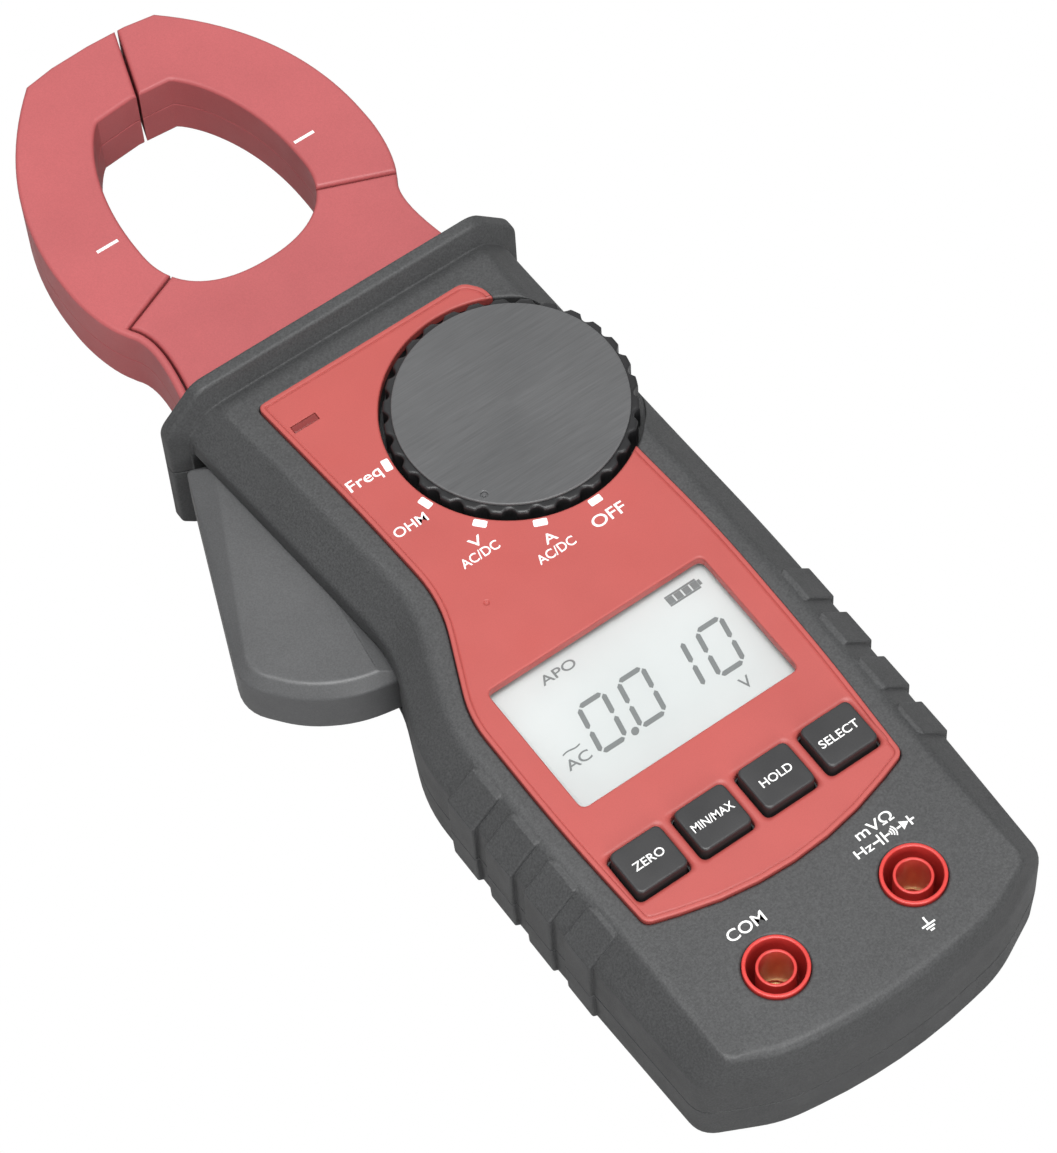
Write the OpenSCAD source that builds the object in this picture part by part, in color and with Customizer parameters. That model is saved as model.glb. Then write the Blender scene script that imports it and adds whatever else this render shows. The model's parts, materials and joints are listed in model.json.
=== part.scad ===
// Digital clamp meter: moulded two-part case, rotary range switch, display with four keys,
// two 4 mm input sockets and a spring-loaded measuring clamp opened by a side trigger.
// +X is the user's right, +Y points to the tip of the clamp, +Z out of the front face.
// The origin lies on the flat back of the handle.

/* [Case] */
// Height of the parting plane between the two case halves
part_z = 13; // [11:0.5:14]
// Height of the black front face
face_z = 29; // [28:0.25:30]
// Height where the side bevel meets the side wall
bevel_z = 23.2; // [22.5:0.1:24]
// Wall thickness of the case
wall = 2; // [1.6:0.1:2.2]
// How far the grip pads stand out
grip_rise = 0.7; // [0.3:0.1:1]
// Corner run of the back edge
back_round = 3.5; // [2:0.5:4]

/* [Hand guard] */
// Top of the guard flange
guard_top = 32.2; // [31:0.1:33]
// Rear face of the guard, where the neck comes out
guard_y = 82.4; // [82:0.1:83]

/* [Face panel] */
// Height of the panel face
panel_z = 29.5; // [29.2:0.1:30]
// Thickness of the panel
panel_t = 2; // [1.6:0.1:2.1]

/* [Rotary switch] */
// Switch centre, from the long axis
knob_x = 14; // [13.5:0.1:14.5]
// Switch centre, along the handle
knob_y = 46.3; // [46:0.1:47]
// Radius of the scalloped wheel
knob_r = 22.4; // [21.5:0.1:22.6]
// Radius of the cap disc
cap_r = 20.9; // [20:0.1:21]
// Number of finger scallops
scallops = 30; // [24:1:36]
// Angle between two switch positions
switch_step = 24.5; // [20:0.5:30]

/* [Keys] */
// Key width
key_w = 10.1; // [9:0.1:10.4]
// Key height
key_h = 9; // [8:0.1:9.4]
// Distance between keys
key_pitch = 13; // [12.8:0.1:13.2]
// Row of keys, along the handle
key_y = -39.9; // [-40.5:0.1:-39.5]

/* [Display] */
// Window width
lcd_w = 44.7; // [40:0.1:45]
// Window height
lcd_h = 27.6; // [25:0.1:28]
// Window centre, along the handle
lcd_y = -11.5; // [-12:0.1:-11]

/* [Sockets] */
// Distance between the two sockets
socket_pitch = 28; // [27:0.5:29]
// Row of sockets, along the handle
socket_y = -67.1; // [-67.5:0.1:-66.5]
// Bore of the plug contact
plug_r = 2.05; // [2.02:0.01:2.1]

/* [Clamp] */
// Underside of the clamp
clamp_z0 = 6; // [5.5:0.5:7]
// Top of the clamp
clamp_z1 = 21; // [20:0.5:21]
// Hinge of the moving jaw
pivot_x = -22; // [-22.5:0.1:-21.5]
// Hinge of the moving jaw, along the handle
pivot_y = 82; // [81.8:0.1:82.2]
// Hinge pin radius
pivot_r = 2.5; // [2:0.1:3]
// Slit between the two jaw tips
tip_gap = 0.5; // [0.3:0.1:0.8]

/* [Hidden] */
$fn = 48;

panel_floor = panel_z - panel_t - 0.1;      // seat of the panel in the front case
cavity_top = 25.4;                          // underside of the front wall
cavity_step = 21.5;                         // ledge inside the bevel of the front case
board_z = 17.5;                             // underside of the main board
board_t = 1.6;
well_r = knob_r + 1;
well_z = 23.5;                              // floor of the switch well
well_floor = 1.6;
hub_r = 7.95;
clamp_mid = (clamp_z0 + clamp_z1) / 2;
plate_t = 2.5;                              // neck plate thickness
shell_t = 1.7;                              // side walls of the jaw shells
skirt_t = 1.6;                              // strip of the moving jaw along the neck's left side
eye_r = 6;                                  // hinge eye of the lever
core_gap = 3;                               // from the jaw's outline to its core
arm_z0 = clamp_z0 + plate_t + 0.3;
arm_z1 = clamp_z1 - plate_t - 0.3;
trigger_z0 = 7;
trigger_z1 = 19;
hump_z = -3;                                // back of the case behind the clamp mechanism
screw_spots = [[26.5, -70], [-26.5, -70], [28.3, 10], [-26.5, 10], [28.6, 71.5]];
neck_spots = [[8, 74], [20, 74]];
cell_x = 7.6;
cell_r = 7.05;
cell_z = 9.6;

// Control corners, anticlockwise: x, y and the run over which the corner is rounded.
wall_ctrl = [[35.3, -74.8, 3], [36.9, -28, 14], [37.2, 2, 12], [36.2, 30, 12], [35.2, 72, 3],
    [35.1, 88, 0.5], [-33.7, 88, 0.5], [-28.7, 21.5, 6], [-36.8, 2, 6], [-36.9, -28, 14],
    [-35.4, -74.8, 3], [-22.6, -81.2, 4], [0, -84.8, 16], [22.6, -81.2, 4]];
face_ctrl = [[30.3, -75.9, 1.5], [31, -28, 14], [31.2, 2, 12], [30.6, 30, 12], [29.6, 70, 3],
    [29.6, 76.6, 3], [-26.9, 76.6, 3], [-22, 25.5, 6], [-31, 1, 6], [-31.1, -28, 14],
    [-30.3, -75.9, 1.5], [-21.5, -79.9, 4], [0, -83, 16], [21.5, -79.9, 4]];
panel_ctrl = [[26.3, -48.4, 1.5], [27.6, -26, 10], [28, 5, 10], [26.4, 29, 6], [24.5, 69.5, 1.5],
    [22, 72.7, 1.5], [-21.6, 72.7, 1.5], [-19.2, 43, 8], [-18.2, 21.5, 7], [-27.5, 0, 5],
    [-27.6, -26, 10], [-26.5, -48.5, 1.5], [0, -57, 22]];
trigger_ctrl = [[-24.5, 18.2, 1], [-24.5, 60, 3], [-29.8, 74.4, 1], [-35.4, 76.6, 1],
    [-52.1, 34.6, 4.5], [-45.3, 25.8, 4], [-37.2, 20.6, 5]];
guard_ctrl = [[38.5, -3.4, 0.8], [38.5, 24.6, 2], [31, guard_top, 2], [-28.8, guard_top, 2],
    [-36.5, 24.5, 2], [-36.5, -3.4, 0.8], [-33.7, -6.2, 0.8], [35.7, -6.2, 0.8]];
guard_root = [[34.6, -0.2, 0.8], [34.8, 23, 2], [29.3, 28.3, 2], [-27, 28.3, 2], [-33.2, 23, 2],
    [-33.2, -0.2, 0.8], [-31, -2.6, 0.8], [32.4, -2.6, 0.8]];

function unit(v) = v / norm(v);
function at(p) = [p.x, p.y];
// A corner polygon with every corner replaced by a short blend curve.
function blend(c, n = 4) = [for (i = [0:len(c) - 1])
    let (q = at(c[i]), p = at(c[(i + len(c) - 1) % len(c)]), r = at(c[(i + 1) % len(c)]),
        t = c[i].z, a = q + unit(p - q) * t, b = q + unit(r - q) * t)
    for (k = [0:n]) let (s = k / n) a * (1 - s) * (1 - s) + q * 2 * s * (1 - s) + b * s * s];
// The same corners moved inwards by d (outwards when d is negative).
function inset(c, d) = [for (i = [0:len(c) - 1])
    let (q = at(c[i]), u = unit(q - at(c[(i + len(c) - 1) % len(c)])),
        v = unit(at(c[(i + 1) % len(c)]) - q), m = [-u.y - v.y, u.x + v.x],
        k = d / (1 + u * v))
    [q.x + m.x * k, q.y + m.y * k, c[i].z]];
function bezier(a, b, c, d, n = 14) = [for (k = [0:n]) let (s = k / n, t = 1 - s)
    a * t * t * t + b * 3 * s * t * t + c * 3 * s * s * t + d * s * s * s];
function mirrored(pts) = [for (i = [len(pts) - 1:-1:0]) [-pts[i].x, pts[i].y]];
// The inner points of an open outline, moved to the right of its direction by d.
function inward(pts, d) = [for (i = [1:len(pts) - 2])
    let (t = unit(pts[i + 1] - pts[i - 1])) pts[i] + [t.y, -t.x] * d];

// A solid through rings of equal point count, each given as [ring, height].
module loft(levels) {
    n = len(levels[0][0]);
    rings = len(levels);
    points = [for (l = levels) for (p = l[0]) [p.x, p.y, l[1]]];
    sides = [for (k = [0:rings - 2]) for (i = [0:n - 1])
        let (a = k * n + i, b = k * n + (i + 1) % n)
        each [[a, a + n, b + n], [a, b + n, b]]];
    polyhedron(points, concat([[for (i = [0:n - 1]) i]], sides,
        [[for (i = [n - 1:-1:0]) (rings - 1) * n + i]]));
}

// A round rod swept along a path that never runs straight up.
module rod(path, r, n = 8) {
    last = len(path) - 1;
    rings = [for (i = [0:last])
        let (t = unit(path[min(i + 1, last)] - path[max(i - 1, 0)]),
            side = unit(cross(t, [0, 0, 1])), up = cross(side, t))
        [for (k = [0:n - 1]) path[i] + side * r * cos(k * 360 / n) + up * r * sin(k * 360 / n)]];
    points = [for (ring = rings) each ring];
    sides = [for (i = [0:last - 1]) for (k = [0:n - 1])
        let (a = i * n + k, b = i * n + (k + 1) % n)
        each [[a, b + n, a + n], [a, b, b + n]]];
    polyhedron(points, concat([[for (k = [n - 1:-1:0]) k]], sides,
        [[for (k = [0:n - 1]) last * n + k]]));
}

module block(x0, x1, y0, y1, z0, z1) translate([x0, y0, z0]) cube([x1 - x0, y1 - y0, z1 - z0]);
module plate(ctrl, z0, z1) translate([0, 0, z0]) linear_extrude(z1 - z0) polygon(blend(ctrl));
module rounded_block(w, h, r, z0, z1)
    plate([[w / 2, -h / 2, r], [w / 2, h / 2, r], [-w / 2, h / 2, r], [-w / 2, -h / 2, r]], z0, z1);
module drum(x, y, r, z0, z1) translate([x, y, z0]) cylinder(r = r, h = z1 - z0);

// ---------------------------------------------------------------- case
module front_block()
    intersection() {
        loft([[blend(wall_ctrl), part_z], [blend(wall_ctrl), bevel_z], [blend(face_ctrl), face_z]]);
        block(-60, 60, -90, guard_y - 1, 0, 40);
    }
module rear_block()
    intersection() {
        loft([[blend(inset(wall_ctrl, back_round)), 0], [blend(inset(wall_ctrl, 0.4)), back_round],
            [blend(wall_ctrl), part_z - 0.05]]);
        block(-60, 60, -90, guard_y - 1, -1, 20);
    }
module guard()
    rotate([90, 0, 0]) loft([[blend(inset(guard_ctrl, 0.5)), -guard_y],
        [blend(guard_ctrl), -guard_y + 0.6], [blend(guard_ctrl), -79.9], [blend(guard_root), -78.3]]);
// Four grip pads on each side: a section across the side wall, run along the handle for one
// pad's length, with the inner end cut to a blunt tab. The section is given right of the wall.
grip_len = 7.4;
grip_pitch = 10.7;
grip_first = -11.4;
function side_x(y) = y > -28 ? 36.9 + (y + 28) * 0.01 : 36.9 + (y + 28) * 0.034;
module grip_pads(section)
    for (k = [0:3], s = [-1, 1]) {
        y = grip_first - k * grip_pitch;
        intersection() {
            translate([0, y + grip_len / 2, 0]) rotate([90, 0, 0]) linear_extrude(grip_len)
                polygon([for (p = section) [s * (side_x(y) + p.x), p.y]]);
            translate([0, y, 0]) linear_extrude(40) polygon([[s * 45, -4], [s * 45, 4],
                [s * 32.6, 4], [s * 30.7, 1.9], [s * 30.7, -2.7], [s * 31.9, -4]]);
        }
    }
front_pad = [[grip_rise, part_z], [grip_rise, 23.4], [-4.6, 28.6], [-6.2, 28.6], [-6.2, 26.4],
    [-1.2, 22], [-1.2, part_z]];
rear_pad = [[grip_rise, part_z - 0.05], [grip_rise - 0.3, 5], [-0.8, 4], [-1.4, 4],
    [-1.4, part_z - 0.05]];
module neck_window() block(-30.4, 30.8, 78, guard_y + 1, clamp_z0 - 0.3, clamp_z1 + 0.3);
module trigger_slot() block(-60, -24.6, 17.4, 77.8, trigger_z0 - 0.3, trigger_z1 + 0.3);
module key_spot(i) translate([(i - 1.5) * key_pitch, key_y, 0]) children();
module socket_spot(i) translate([(i - 0.5) * socket_pitch, socket_y, 0]) children();

module front_case() color("#4a4a4b")
    difference() {
        union() {
            difference() {
                union() {
                    front_block();
                    grip_pads(front_pad);
                }
                difference() {
                    intersection() {
                        union() {
                            plate(inset(wall_ctrl, wall), part_z - 1, cavity_step);
                            plate(inset(face_ctrl, wall + 0.4), cavity_step - 1, cavity_top);
                        }
                        block(-60, 60, -90, 78.4, 0, 40);
                    }
                    drum(knob_x, knob_y, well_r + wall, well_z - well_floor, 40);
                    for (p = screw_spots) drum(p.x, p.y, 3.2, 0, 40);
                }
            }
            intersection() { guard(); block(-60, 60, 78, 90, part_z, 40); }
        }
        plate(inset(panel_ctrl, -0.15), panel_floor, 40);
        drum(knob_x, knob_y, well_r, well_z, 40);
        drum(knob_x, knob_y, hub_r + 0.08, 15, 40);
        translate([0, lcd_y, 0]) rounded_block(lcd_w + 4.4, lcd_h + 5, 1.5, 20, 40);
        for (i = [0:3]) key_spot(i) rounded_block(key_w + 0.4, key_h + 0.4, 1.2, 20, 40);
        for (i = [0:1]) socket_spot(i) drum(0, 0, 5.75, 15, 40);
        block(-19.5, -13.9, 64, 66, 20, 40);
        for (p = screw_spots) drum(p.x, p.y, 1.2, part_z - 1, 22);
        trigger_slot();
        neck_window();
    }

module rear_case() color("#464647")
    difference() {
        union() {
            difference() {
                union() {
                    rear_block();
                    grip_pads(rear_pad);
                    hull() {
                        block(-26, 31, 18, 80, 0.5, 1);
                        block(-28, 29.5, 44, 80, hump_z, hump_z + 0.5);
                        block(-30.5, 32, 78, 80, -0.5, 0.5);
                    }
                }
                intersection() {
                    loft([[blend(inset(wall_ctrl, back_round + 1)), wall],
                        [blend(inset(wall_ctrl, wall + 0.4)), 5], [blend(inset(wall_ctrl, wall)), 20]]);
                    block(-60, 60, -90, 78.4, 0, 40);
                }
                block(-24, 28, 48, 78, hump_z + wall, 10);
            }
            intersection() { guard(); block(-60, 60, 78, 90, -10, part_z - 0.05); }
            for (p = screw_spots) drum(p.x, p.y, 3.6, p.y > 50 ? hump_z : 0, part_z - 0.1);
            for (p = neck_spots) drum(p.x, p.y - 6, 2.4, hump_z, clamp_z0 - 0.2);
            block(-17.8, 17.8, -60.6, -1.4, 1, 16.9);
            block(-7, 7, -1.5, 8.4, 1, 4);
            drum(0, 2.6, 3, 1, 10);
        }
        block(-16.5, 16.5, -59.3, -2.7, -1, 20);
        block(-19.6, 19.6, -61.1, -0.9, -1, 1.9);
        block(-5.2, 5.2, -1.4, 6.6, -1, 2.5);
        drum(0, 2.6, 1.12, -1, 9);
        for (p = screw_spots) {
            drum(p.x, p.y, 2.6, -8, 7);
            drum(p.x, p.y, 1.5, -8, 20);
        }
        trigger_slot();
        neck_window();
    }

module battery_door() color("#464647")
    union() {
        difference() {
            block(-19.4, 19.4, -60.9, -1.1, 0, 1.7);
            for (i = [0:4]) block(-7, 7, -54 + i * 2.4, -52.8 + i * 2.4, -1, 0.6);
        }
        difference() {
            block(-5, 5, -1.2, 6.4, 0, 2.4);
            drum(0, 2.6, 2.5, -1, 1.3);
            drum(0, 2.6, 1.3, -1, 3);
        }
    }

// A cross-head screw standing on its head, threaded end up.
module screw(x, y, z0, head_r, head_h, shaft_r, length)
    translate([x, y, z0]) difference() {
        union() {
            cylinder(r = head_r, h = head_h);
            translate([0, 0, head_h / 2]) cylinder(r = shaft_r, h = length - head_h / 2);
        }
        for (a = [0, 90]) rotate(a)
            translate([-head_r * 0.65, -0.35, -1]) cube([head_r * 1.3, 0.7, 1 + head_h * 0.45]);
    }
module door_screw() color("silver") screw(0, 2.6, 0.08, 2.3, 1.2, 1.08, 8);
module case_screws() color("silver")
    for (p = screw_spots) screw(p.x, p.y, 4.9, 2.4, 2, 1.15, 15);
module neck_screws() color("silver")
    for (p = neck_spots) screw(p.x, p.y, clamp_z0 - 2.05, 2.2, 2, 1.15, 12);

// ---------------------------------------------------------------- face
module face_panel() color("#c9655f")
    difference() {
        plate(panel_ctrl, panel_z - panel_t, panel_z);
        drum(knob_x, knob_y, well_r - 0.2, 20, 40);
        translate([0, lcd_y, 0]) rounded_block(lcd_w, lcd_h, 1.5, 20, 40);
        for (i = [0:3]) key_spot(i) rounded_block(key_w + 1.2, key_h + 1.2, 1.4, 20, 40);
        block(-19.3, -14.1, 64.2, 65.8, 20, 40);
    }
module indicator_lens() color("#7a2a2c")
    block(-19.25, -14.15, 64.25, 65.75, panel_z - panel_t, panel_z);
module indicator_led() color("#d8b0a8")
    union() {
        drum(-16.7, 65, 1.5, 22.4, 25);
        drum(-16.7, 65, 1.9, 21.8, 22.5);
    }
module lcd_window() color("#e8eef0", 0.4)
    translate([0, lcd_y, 0]) rounded_block(lcd_w + 3.6, lcd_h + 3.2, 1.5, 26.1, panel_z - panel_t - 0.05);
module lcd_glass() color("#c9cdc9")
    translate([0, lcd_y, 0]) rounded_block(lcd_w + 2.2, lcd_h + 2.6, 0.6, 24, 25.6);
module backlight() color("#eef2f0")
    translate([0, lcd_y, 0]) rounded_block(lcd_w - 1.8, lcd_h - 4.6, 0.8, 21.2, 23.9);
module lcd_frame() color("#e4e4e0")
    translate([0, lcd_y, 0]) difference() {
        rounded_block(lcd_w + 4, lcd_h + 4.2, 1.4, board_z + board_t + 0.05, 25.5);
        rounded_block(lcd_w + 2.6, lcd_h + 3, 0.6, 23.95, 30);
        rounded_block(lcd_w - 1.6, lcd_h - 4.4, 0.8, 21.1, 30);
        for (s = [-1, 1]) translate([0, s * 14.1, 0]) rounded_block(lcd_w - 3, 2.6, 0.5, 10, 30);
    }
module zebra_strips() color("#d98f8f")
    for (s = [-1, 1])
        translate([0, lcd_y + s * 14.1, 0])
            rounded_block(lcd_w - 3.4, 2.2, 0.4, board_z + board_t + 0.05, 23.9);

module key(i) color("#2f2f30")
    key_spot(i) union() {
        loft([[blend(key_ctrl(0.15)), 22.6], [blend(key_ctrl(0)), 23], [blend(key_ctrl(0)), 30.2],
            [blend(key_ctrl(0.9)), 31]]);
        rounded_block(key_w + 1.8, key_h + 1.8, 1.4, 22.8, 24.6);
    }
function key_ctrl(d) = inset([[key_w / 2, -key_h / 2, 1.3], [key_w / 2, key_h / 2, 1.3],
    [-key_w / 2, key_h / 2, 1.3], [-key_w / 2, -key_h / 2, 1.3]], d);
module button_zero() key(0);
module button_min_max() key(1);
module button_hold() key(2);
module button_select() key(3);
module keypad_mat() color("#8b8d8c")
    union() {
        translate([0, key_y, 0]) rounded_block(54, 11.6, 2, board_z + board_t + 0.05, 20.1);
        for (i = [0:3]) key_spot(i) drum(0, 0, 3, 20, 21.3);
    }

// ---------------------------------------------------------------- range switch
module rotary_knob() color("#2c2c2d")
    translate([knob_x, knob_y, 0]) difference() {
        union() {
            translate([0, 0, 24]) cylinder(r = knob_r, h = 6.2);
            translate([0, 0, 21.7]) cylinder(r = hub_r, h = 3);
        }
        for (i = [0:scallops - 1]) rotate((i + 0.5) * 360 / scallops)
            translate([knob_r + 0.25, 0, 23]) cylinder(r = 1.2, h = 9, $fn = 24);
        translate([0, 0, 21]) cylinder(r = 1.2, h = 6);
        difference() {
            translate([0, 0, 23]) cylinder(r = knob_r - 3, h = 5);
            translate([0, 0, 20]) cylinder(r = hub_r + 1.5, h = 10);
        }
    }
module knob_cap() color("#6b6b6c")
    translate([knob_x, knob_y, 30.25]) difference() {
        cylinder(r = cap_r, h = 0.55, $fn = 96);
        rotate(270 - 2 * switch_step) translate([19.4, 0, -1]) cylinder(r = 0.55, h = 4);
    }
module switch_rotor() color("#e6e2d6")
    translate([knob_x, knob_y, 0]) difference() {
        translate([0, 0, 20.1]) cylinder(r = 11, h = 1.55);
        translate([0, 0, 19]) cylinder(r = 1.3, h = 6);
        for (a = [0:120:240]) rotate(a) translate([5, -1.1, 19]) cube([4.6, 2.2, 1.5]);
    }
module knob_screw() color("silver")
    translate([knob_x, knob_y, 0]) difference() {
        union() {
            translate([0, 0, 19.3]) cylinder(r = 2.3, h = 0.75);
            translate([0, 0, 20]) cylinder(r = 1.15, h = 6);
        }
        for (a = [0, 90]) rotate(a) translate([-1.4, -0.3, 19.2]) cube([2.8, 0.6, 0.6]);
    }
module wiper_contacts() color("#c9a04c")
    for (a = [0:120:240]) translate([knob_x, knob_y, 0]) rotate(a) union() {
        translate([5.2, -0.9, 20.2]) cube([4.2, 1.8, 0.25]);
        translate([8.6, -0.9, 19.2]) cube([0.3, 1.8, 1.2]);
    }

// ---------------------------------------------------------------- electronics
module main_board() color("#2c6b45")
    difference() {
        plate([[31, -55, 4], [31, 13.8, 2], [31.5, 24, 2], [31.5, 62, 2], [4, 62, 2], [4, 13.8, 1],
            [-28.9, 13.8, 1], [-31, 8.8, 2], [-31, -55, 4]], board_z, board_z + board_t);
        for (p = screw_spots) drum(p.x, p.y, 3.6, board_z - 1, 30);
    }
module board_chips() color("#202124") {
    chip_z = board_z + board_t + 0.02;
    block(10, 22, 18, 30, chip_z, 20.5);
    block(-18, -9, 7.4, 12.6, chip_z, 20.4);
    block(0, 6, 8, 12.4, chip_z, 20.6);
    block(11, 16, 8, 12, chip_z, 21.2);
}
module input_protection() color("#3a62a8")
    for (x = [-16, -6, 6, 16])
        translate([x, -50.6, board_z + board_t + 0.05]) rounded_block(7, 4.2, 2, 0, 3.4);
module buzzer() color("#1f1f20")
    difference() {
        drum(20, 28, 7, 14, board_z - 0.05);
        drum(20, 28, 1.2, 13, 15);
    }

// ---------------------------------------------------------------- sockets
module socket(i) color("#c23a35")
    socket_spot(i) difference() {
        translate([0, 0, 3.2]) cylinder(r = 5.65, h = face_z + 0.5 - 3.2);
        difference() {
            translate([0, 0, 8]) cylinder(r = 4.95, h = 40);
            translate([0, 0, 0]) cylinder(r = 3.4, h = face_z - 0.2);
        }
        translate([0, 0, 5]) cylinder(r = 2.85, h = 40);
    }
module socket_com() socket(0);
module socket_volt() socket(1);
module socket_contacts() color("#cfae62")
    for (i = [0:1]) socket_spot(i) difference() {
        translate([0, 0, 5.05]) cylinder(r = 2.8, h = 19.5);
        translate([0, 0, 6.5]) cylinder(r = plug_r, h = 40);
    }

// ---------------------------------------------------------------- battery
module battery_cells() color("#8f9aa5")
    for (s = [-1, 1]) translate([s * cell_x, -31, cell_z]) rotate([s * 90, 0, 0]) union() {
        translate([0, 0, -24.6]) cylinder(r = cell_r, h = 49.2);
        translate([0, 0, 24]) cylinder(r = 2.7, h = 1.6);
    }
module battery_contacts() color("#d0d0cc")
    for (s = [-1, 1], e = [-1, 1])
        translate([s * cell_x, -31 + e * 27.9, cell_z]) rotate([90, 0, 0])
            difference() {
                translate([-6, -6, -0.25]) cube([12, 12, 0.5]);
                cylinder(r = 1.5, h = 2, center = true);
            }

// ---------------------------------------------------------------- clamp
outer_half = concat(
    [[0, 163.9], [8, 163.6]],
    bezier([14.1, 162.6], [27.6, 149.8], [32.7, 135], [32.7, 121]),
    bezier([32.7, 119], [32.7, 114.5], [31.6, 108.4], [29.6, 105], 8),
    bezier([29.2, 104.2], [26.8, 101], [27.2, 95], [29.8, 84], 8), [[29.8, 66]]);
inner_half = concat(
    [[0, 148.6], [7.9, 147.9]],
    bezier([8.6, 147.3], [12.8, 143], [17.4, 133], [17.4, 120]),
    bezier([17.4, 118], [17.4, 107.1], [8.6, 103.6], [0.6, 103.6]));
module outline_2d() polygon(concat(mirrored(outer_half), outer_half));
module clamp_2d() difference() {
    outline_2d();
    polygon(concat(mirrored(inner_half), inner_half));
}
// The strip of the outline, t wide, that the moving jaw runs down into the guard.
module skirt_2d(t, y0) difference() {
    intersection() { outline_2d(); translate([-40, y0]) square([20, 112 - y0]); }
    offset(delta = -t) outline_2d();
}
// The regions of the two jaws, between the slanted tip slit and the joints to the neck.
slit = [1.3, 148.4];
slit_dir = [0.311, 0.95];
function slit_at(t, off) = slit + slit_dir * t + [slit_dir.y, -slit_dir.x] * off;
module fixed_mask(grow = 0)
    polygon([slit_at(-9, tip_gap / 2), slit_at(22, tip_gap / 2), [60, 169], [60, 92.7 - grow],
        [5, 115.6 - grow]]);
module moving_mask(grow = 0)
    polygon([slit_at(-9, -tip_gap / 2), [-5, 115.6 - grow], [-60, 92.7 - grow], [-60, 169],
        slit_at(22, -tip_gap / 2)]);
module moving_2d() union() {
    intersection() { clamp_2d(); moving_mask(); }
    skirt_2d(skirt_t, guard_y + 0.8);
}
module fixed_2d() intersection() { clamp_2d(); fixed_mask(); }
module neck_2d() difference() {
    clamp_2d();
    fixed_mask(0.3);
    moving_mask(0.4);
    skirt_2d(skirt_t + 0.4, 66);
    translate([-60, 140]) square([120, 60]);
}
// Arm of the moving jaw: root inside the jaw, hinge eye, and the reach down to the trigger.
module arm_2d() union() {
    intersection() {
        offset(delta = -skirt_t - 0.3) outline_2d();
        polygon([[-40, 83], [-16.2, 83], [-13.5, 103.6], [-18.6, 109], [-20.5, 114], [-40, 114]]);
    }
    translate([pivot_x, pivot_y]) circle(r = eye_r);
    polygon([[-27.9, 82], [-29.6, 77.2], [-32, 75], [-31, 52], [-24.6, 52], [-19.5, 74], [-16, 82]]);
}
module arm_solid(z0, z1, grow = 0)
    translate([0, 0, z0]) linear_extrude(z1 - z0) offset(delta = grow) arm_2d();

module trigger_lever() color("#4d4d4e")
    difference() {
        union() {
            loft([[blend(inset(trigger_ctrl, 0.8)), trigger_z0], [blend(trigger_ctrl), trigger_z0 + 0.8],
                [blend(trigger_ctrl), trigger_z1 - 2], [blend(inset(trigger_ctrl, 2.2)), trigger_z1]]);
            arm_solid(arm_z0, arm_z1);
        }
        drum(pivot_x, pivot_y, pivot_r + 0.06, 0, 40);
        drum(pivot_x, pivot_y, eye_r - 1.2, 0, arm_z0 + 3);
    }
module pivot_pin() color("silver") drum(pivot_x, pivot_y, pivot_r, clamp_z0 + 0.9, clamp_z1 - 0.9);
module lever_spring() color("#b8b8b4") {
    turns = 2.5;
    coil = [for (a = [0:20:360 * turns])
        [pivot_x + 3.7 * cos(a), pivot_y + 3.7 * sin(a), arm_z0 + 0.5 + 0.85 * a / 360]];
    rod(coil, 0.35, 6);
}

module jaw_half(z0, z1, c0, c1) difference() {
    translate([0, 0, z0]) linear_extrude(z1 - z0) children(0);
    translate([0, 0, c0]) linear_extrude(c1 - c0) offset(delta = -shell_t) children(0);
}
module moving_jaw_front() color("#d07073")
    difference() {
        jaw_half(clamp_mid, clamp_z1, clamp_mid - 1, clamp_z1 - 1.6) moving_2d();
        arm_solid(clamp_mid - 1, arm_z1 + 0.1, 0.15);
    }
module moving_jaw_rear() color("#cc6a6d")
    difference() {
        jaw_half(clamp_z0, clamp_mid - 0.04, clamp_z0 + 1.6, clamp_mid + 1) moving_2d();
        arm_solid(arm_z0 - 0.1, clamp_mid + 1, 0.15);
    }
module moving_core() color("#707276")
    translate([0, 0, clamp_z0 + 3]) linear_extrude(clamp_z1 - clamp_z0 - 6) intersection() {
        offset(delta = -core_gap) moving_2d();
        translate([-60, 115]) square([100, 60]);
    }
module lead_slot() block(25.2, 29.5, 103, 110, clamp_mid - 1, clamp_mid + 1);
module fixed_jaw_front() color("#d07073")
    difference() {
        jaw_half(clamp_mid, clamp_z1, clamp_mid - 1, clamp_z1 - 1.6) fixed_2d();
        lead_slot();
    }
module fixed_jaw_rear() color("#cc6a6d")
    difference() {
        jaw_half(clamp_z0, clamp_mid - 0.04, clamp_z0 + 1.6, clamp_mid + 1) fixed_2d();
        lead_slot();
    }
module fixed_core() color("#707276")
    translate([0, 0, clamp_z0 + 3]) linear_extrude(clamp_z1 - clamp_z0 - 6) union() {
        intersection() {
            offset(delta = -core_gap) fixed_2d();
            translate([-60, 60]) square([120, 90]);
        }
        polygon([[-8, 100.6], [-8, 92], [22, 92], [22, 103], [15, 103], [8, 100.6]]);
    }
module hall_sensor() color("#26272a")
    translate([6.6, 152.2, 11.5]) rotate(-18) cube([3.2, 6, 4]);
// The lead runs from the sensor down the gap between the fixed core and its shell, through a
// slot into the neck, and past the neck's screw post to the underside of the board.
lead_gap = (shell_t + core_gap) / 2;
module sensor_lead() color("#b03030")
    rod(concat([[10.3, 158.15, clamp_mid]],
        [for (p = inward(outer_half, lead_gap)) if (p.y < 159 && p.y > 92) [p.x, p.y, clamp_mid]],
        [[25.1, 86, clamp_mid], [24.1, 79, clamp_mid], [24.1, 68, clamp_mid + 1],
            [22, 60, board_z - 0.7], [20, 58, board_z - 0.7]]), 0.45);

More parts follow.
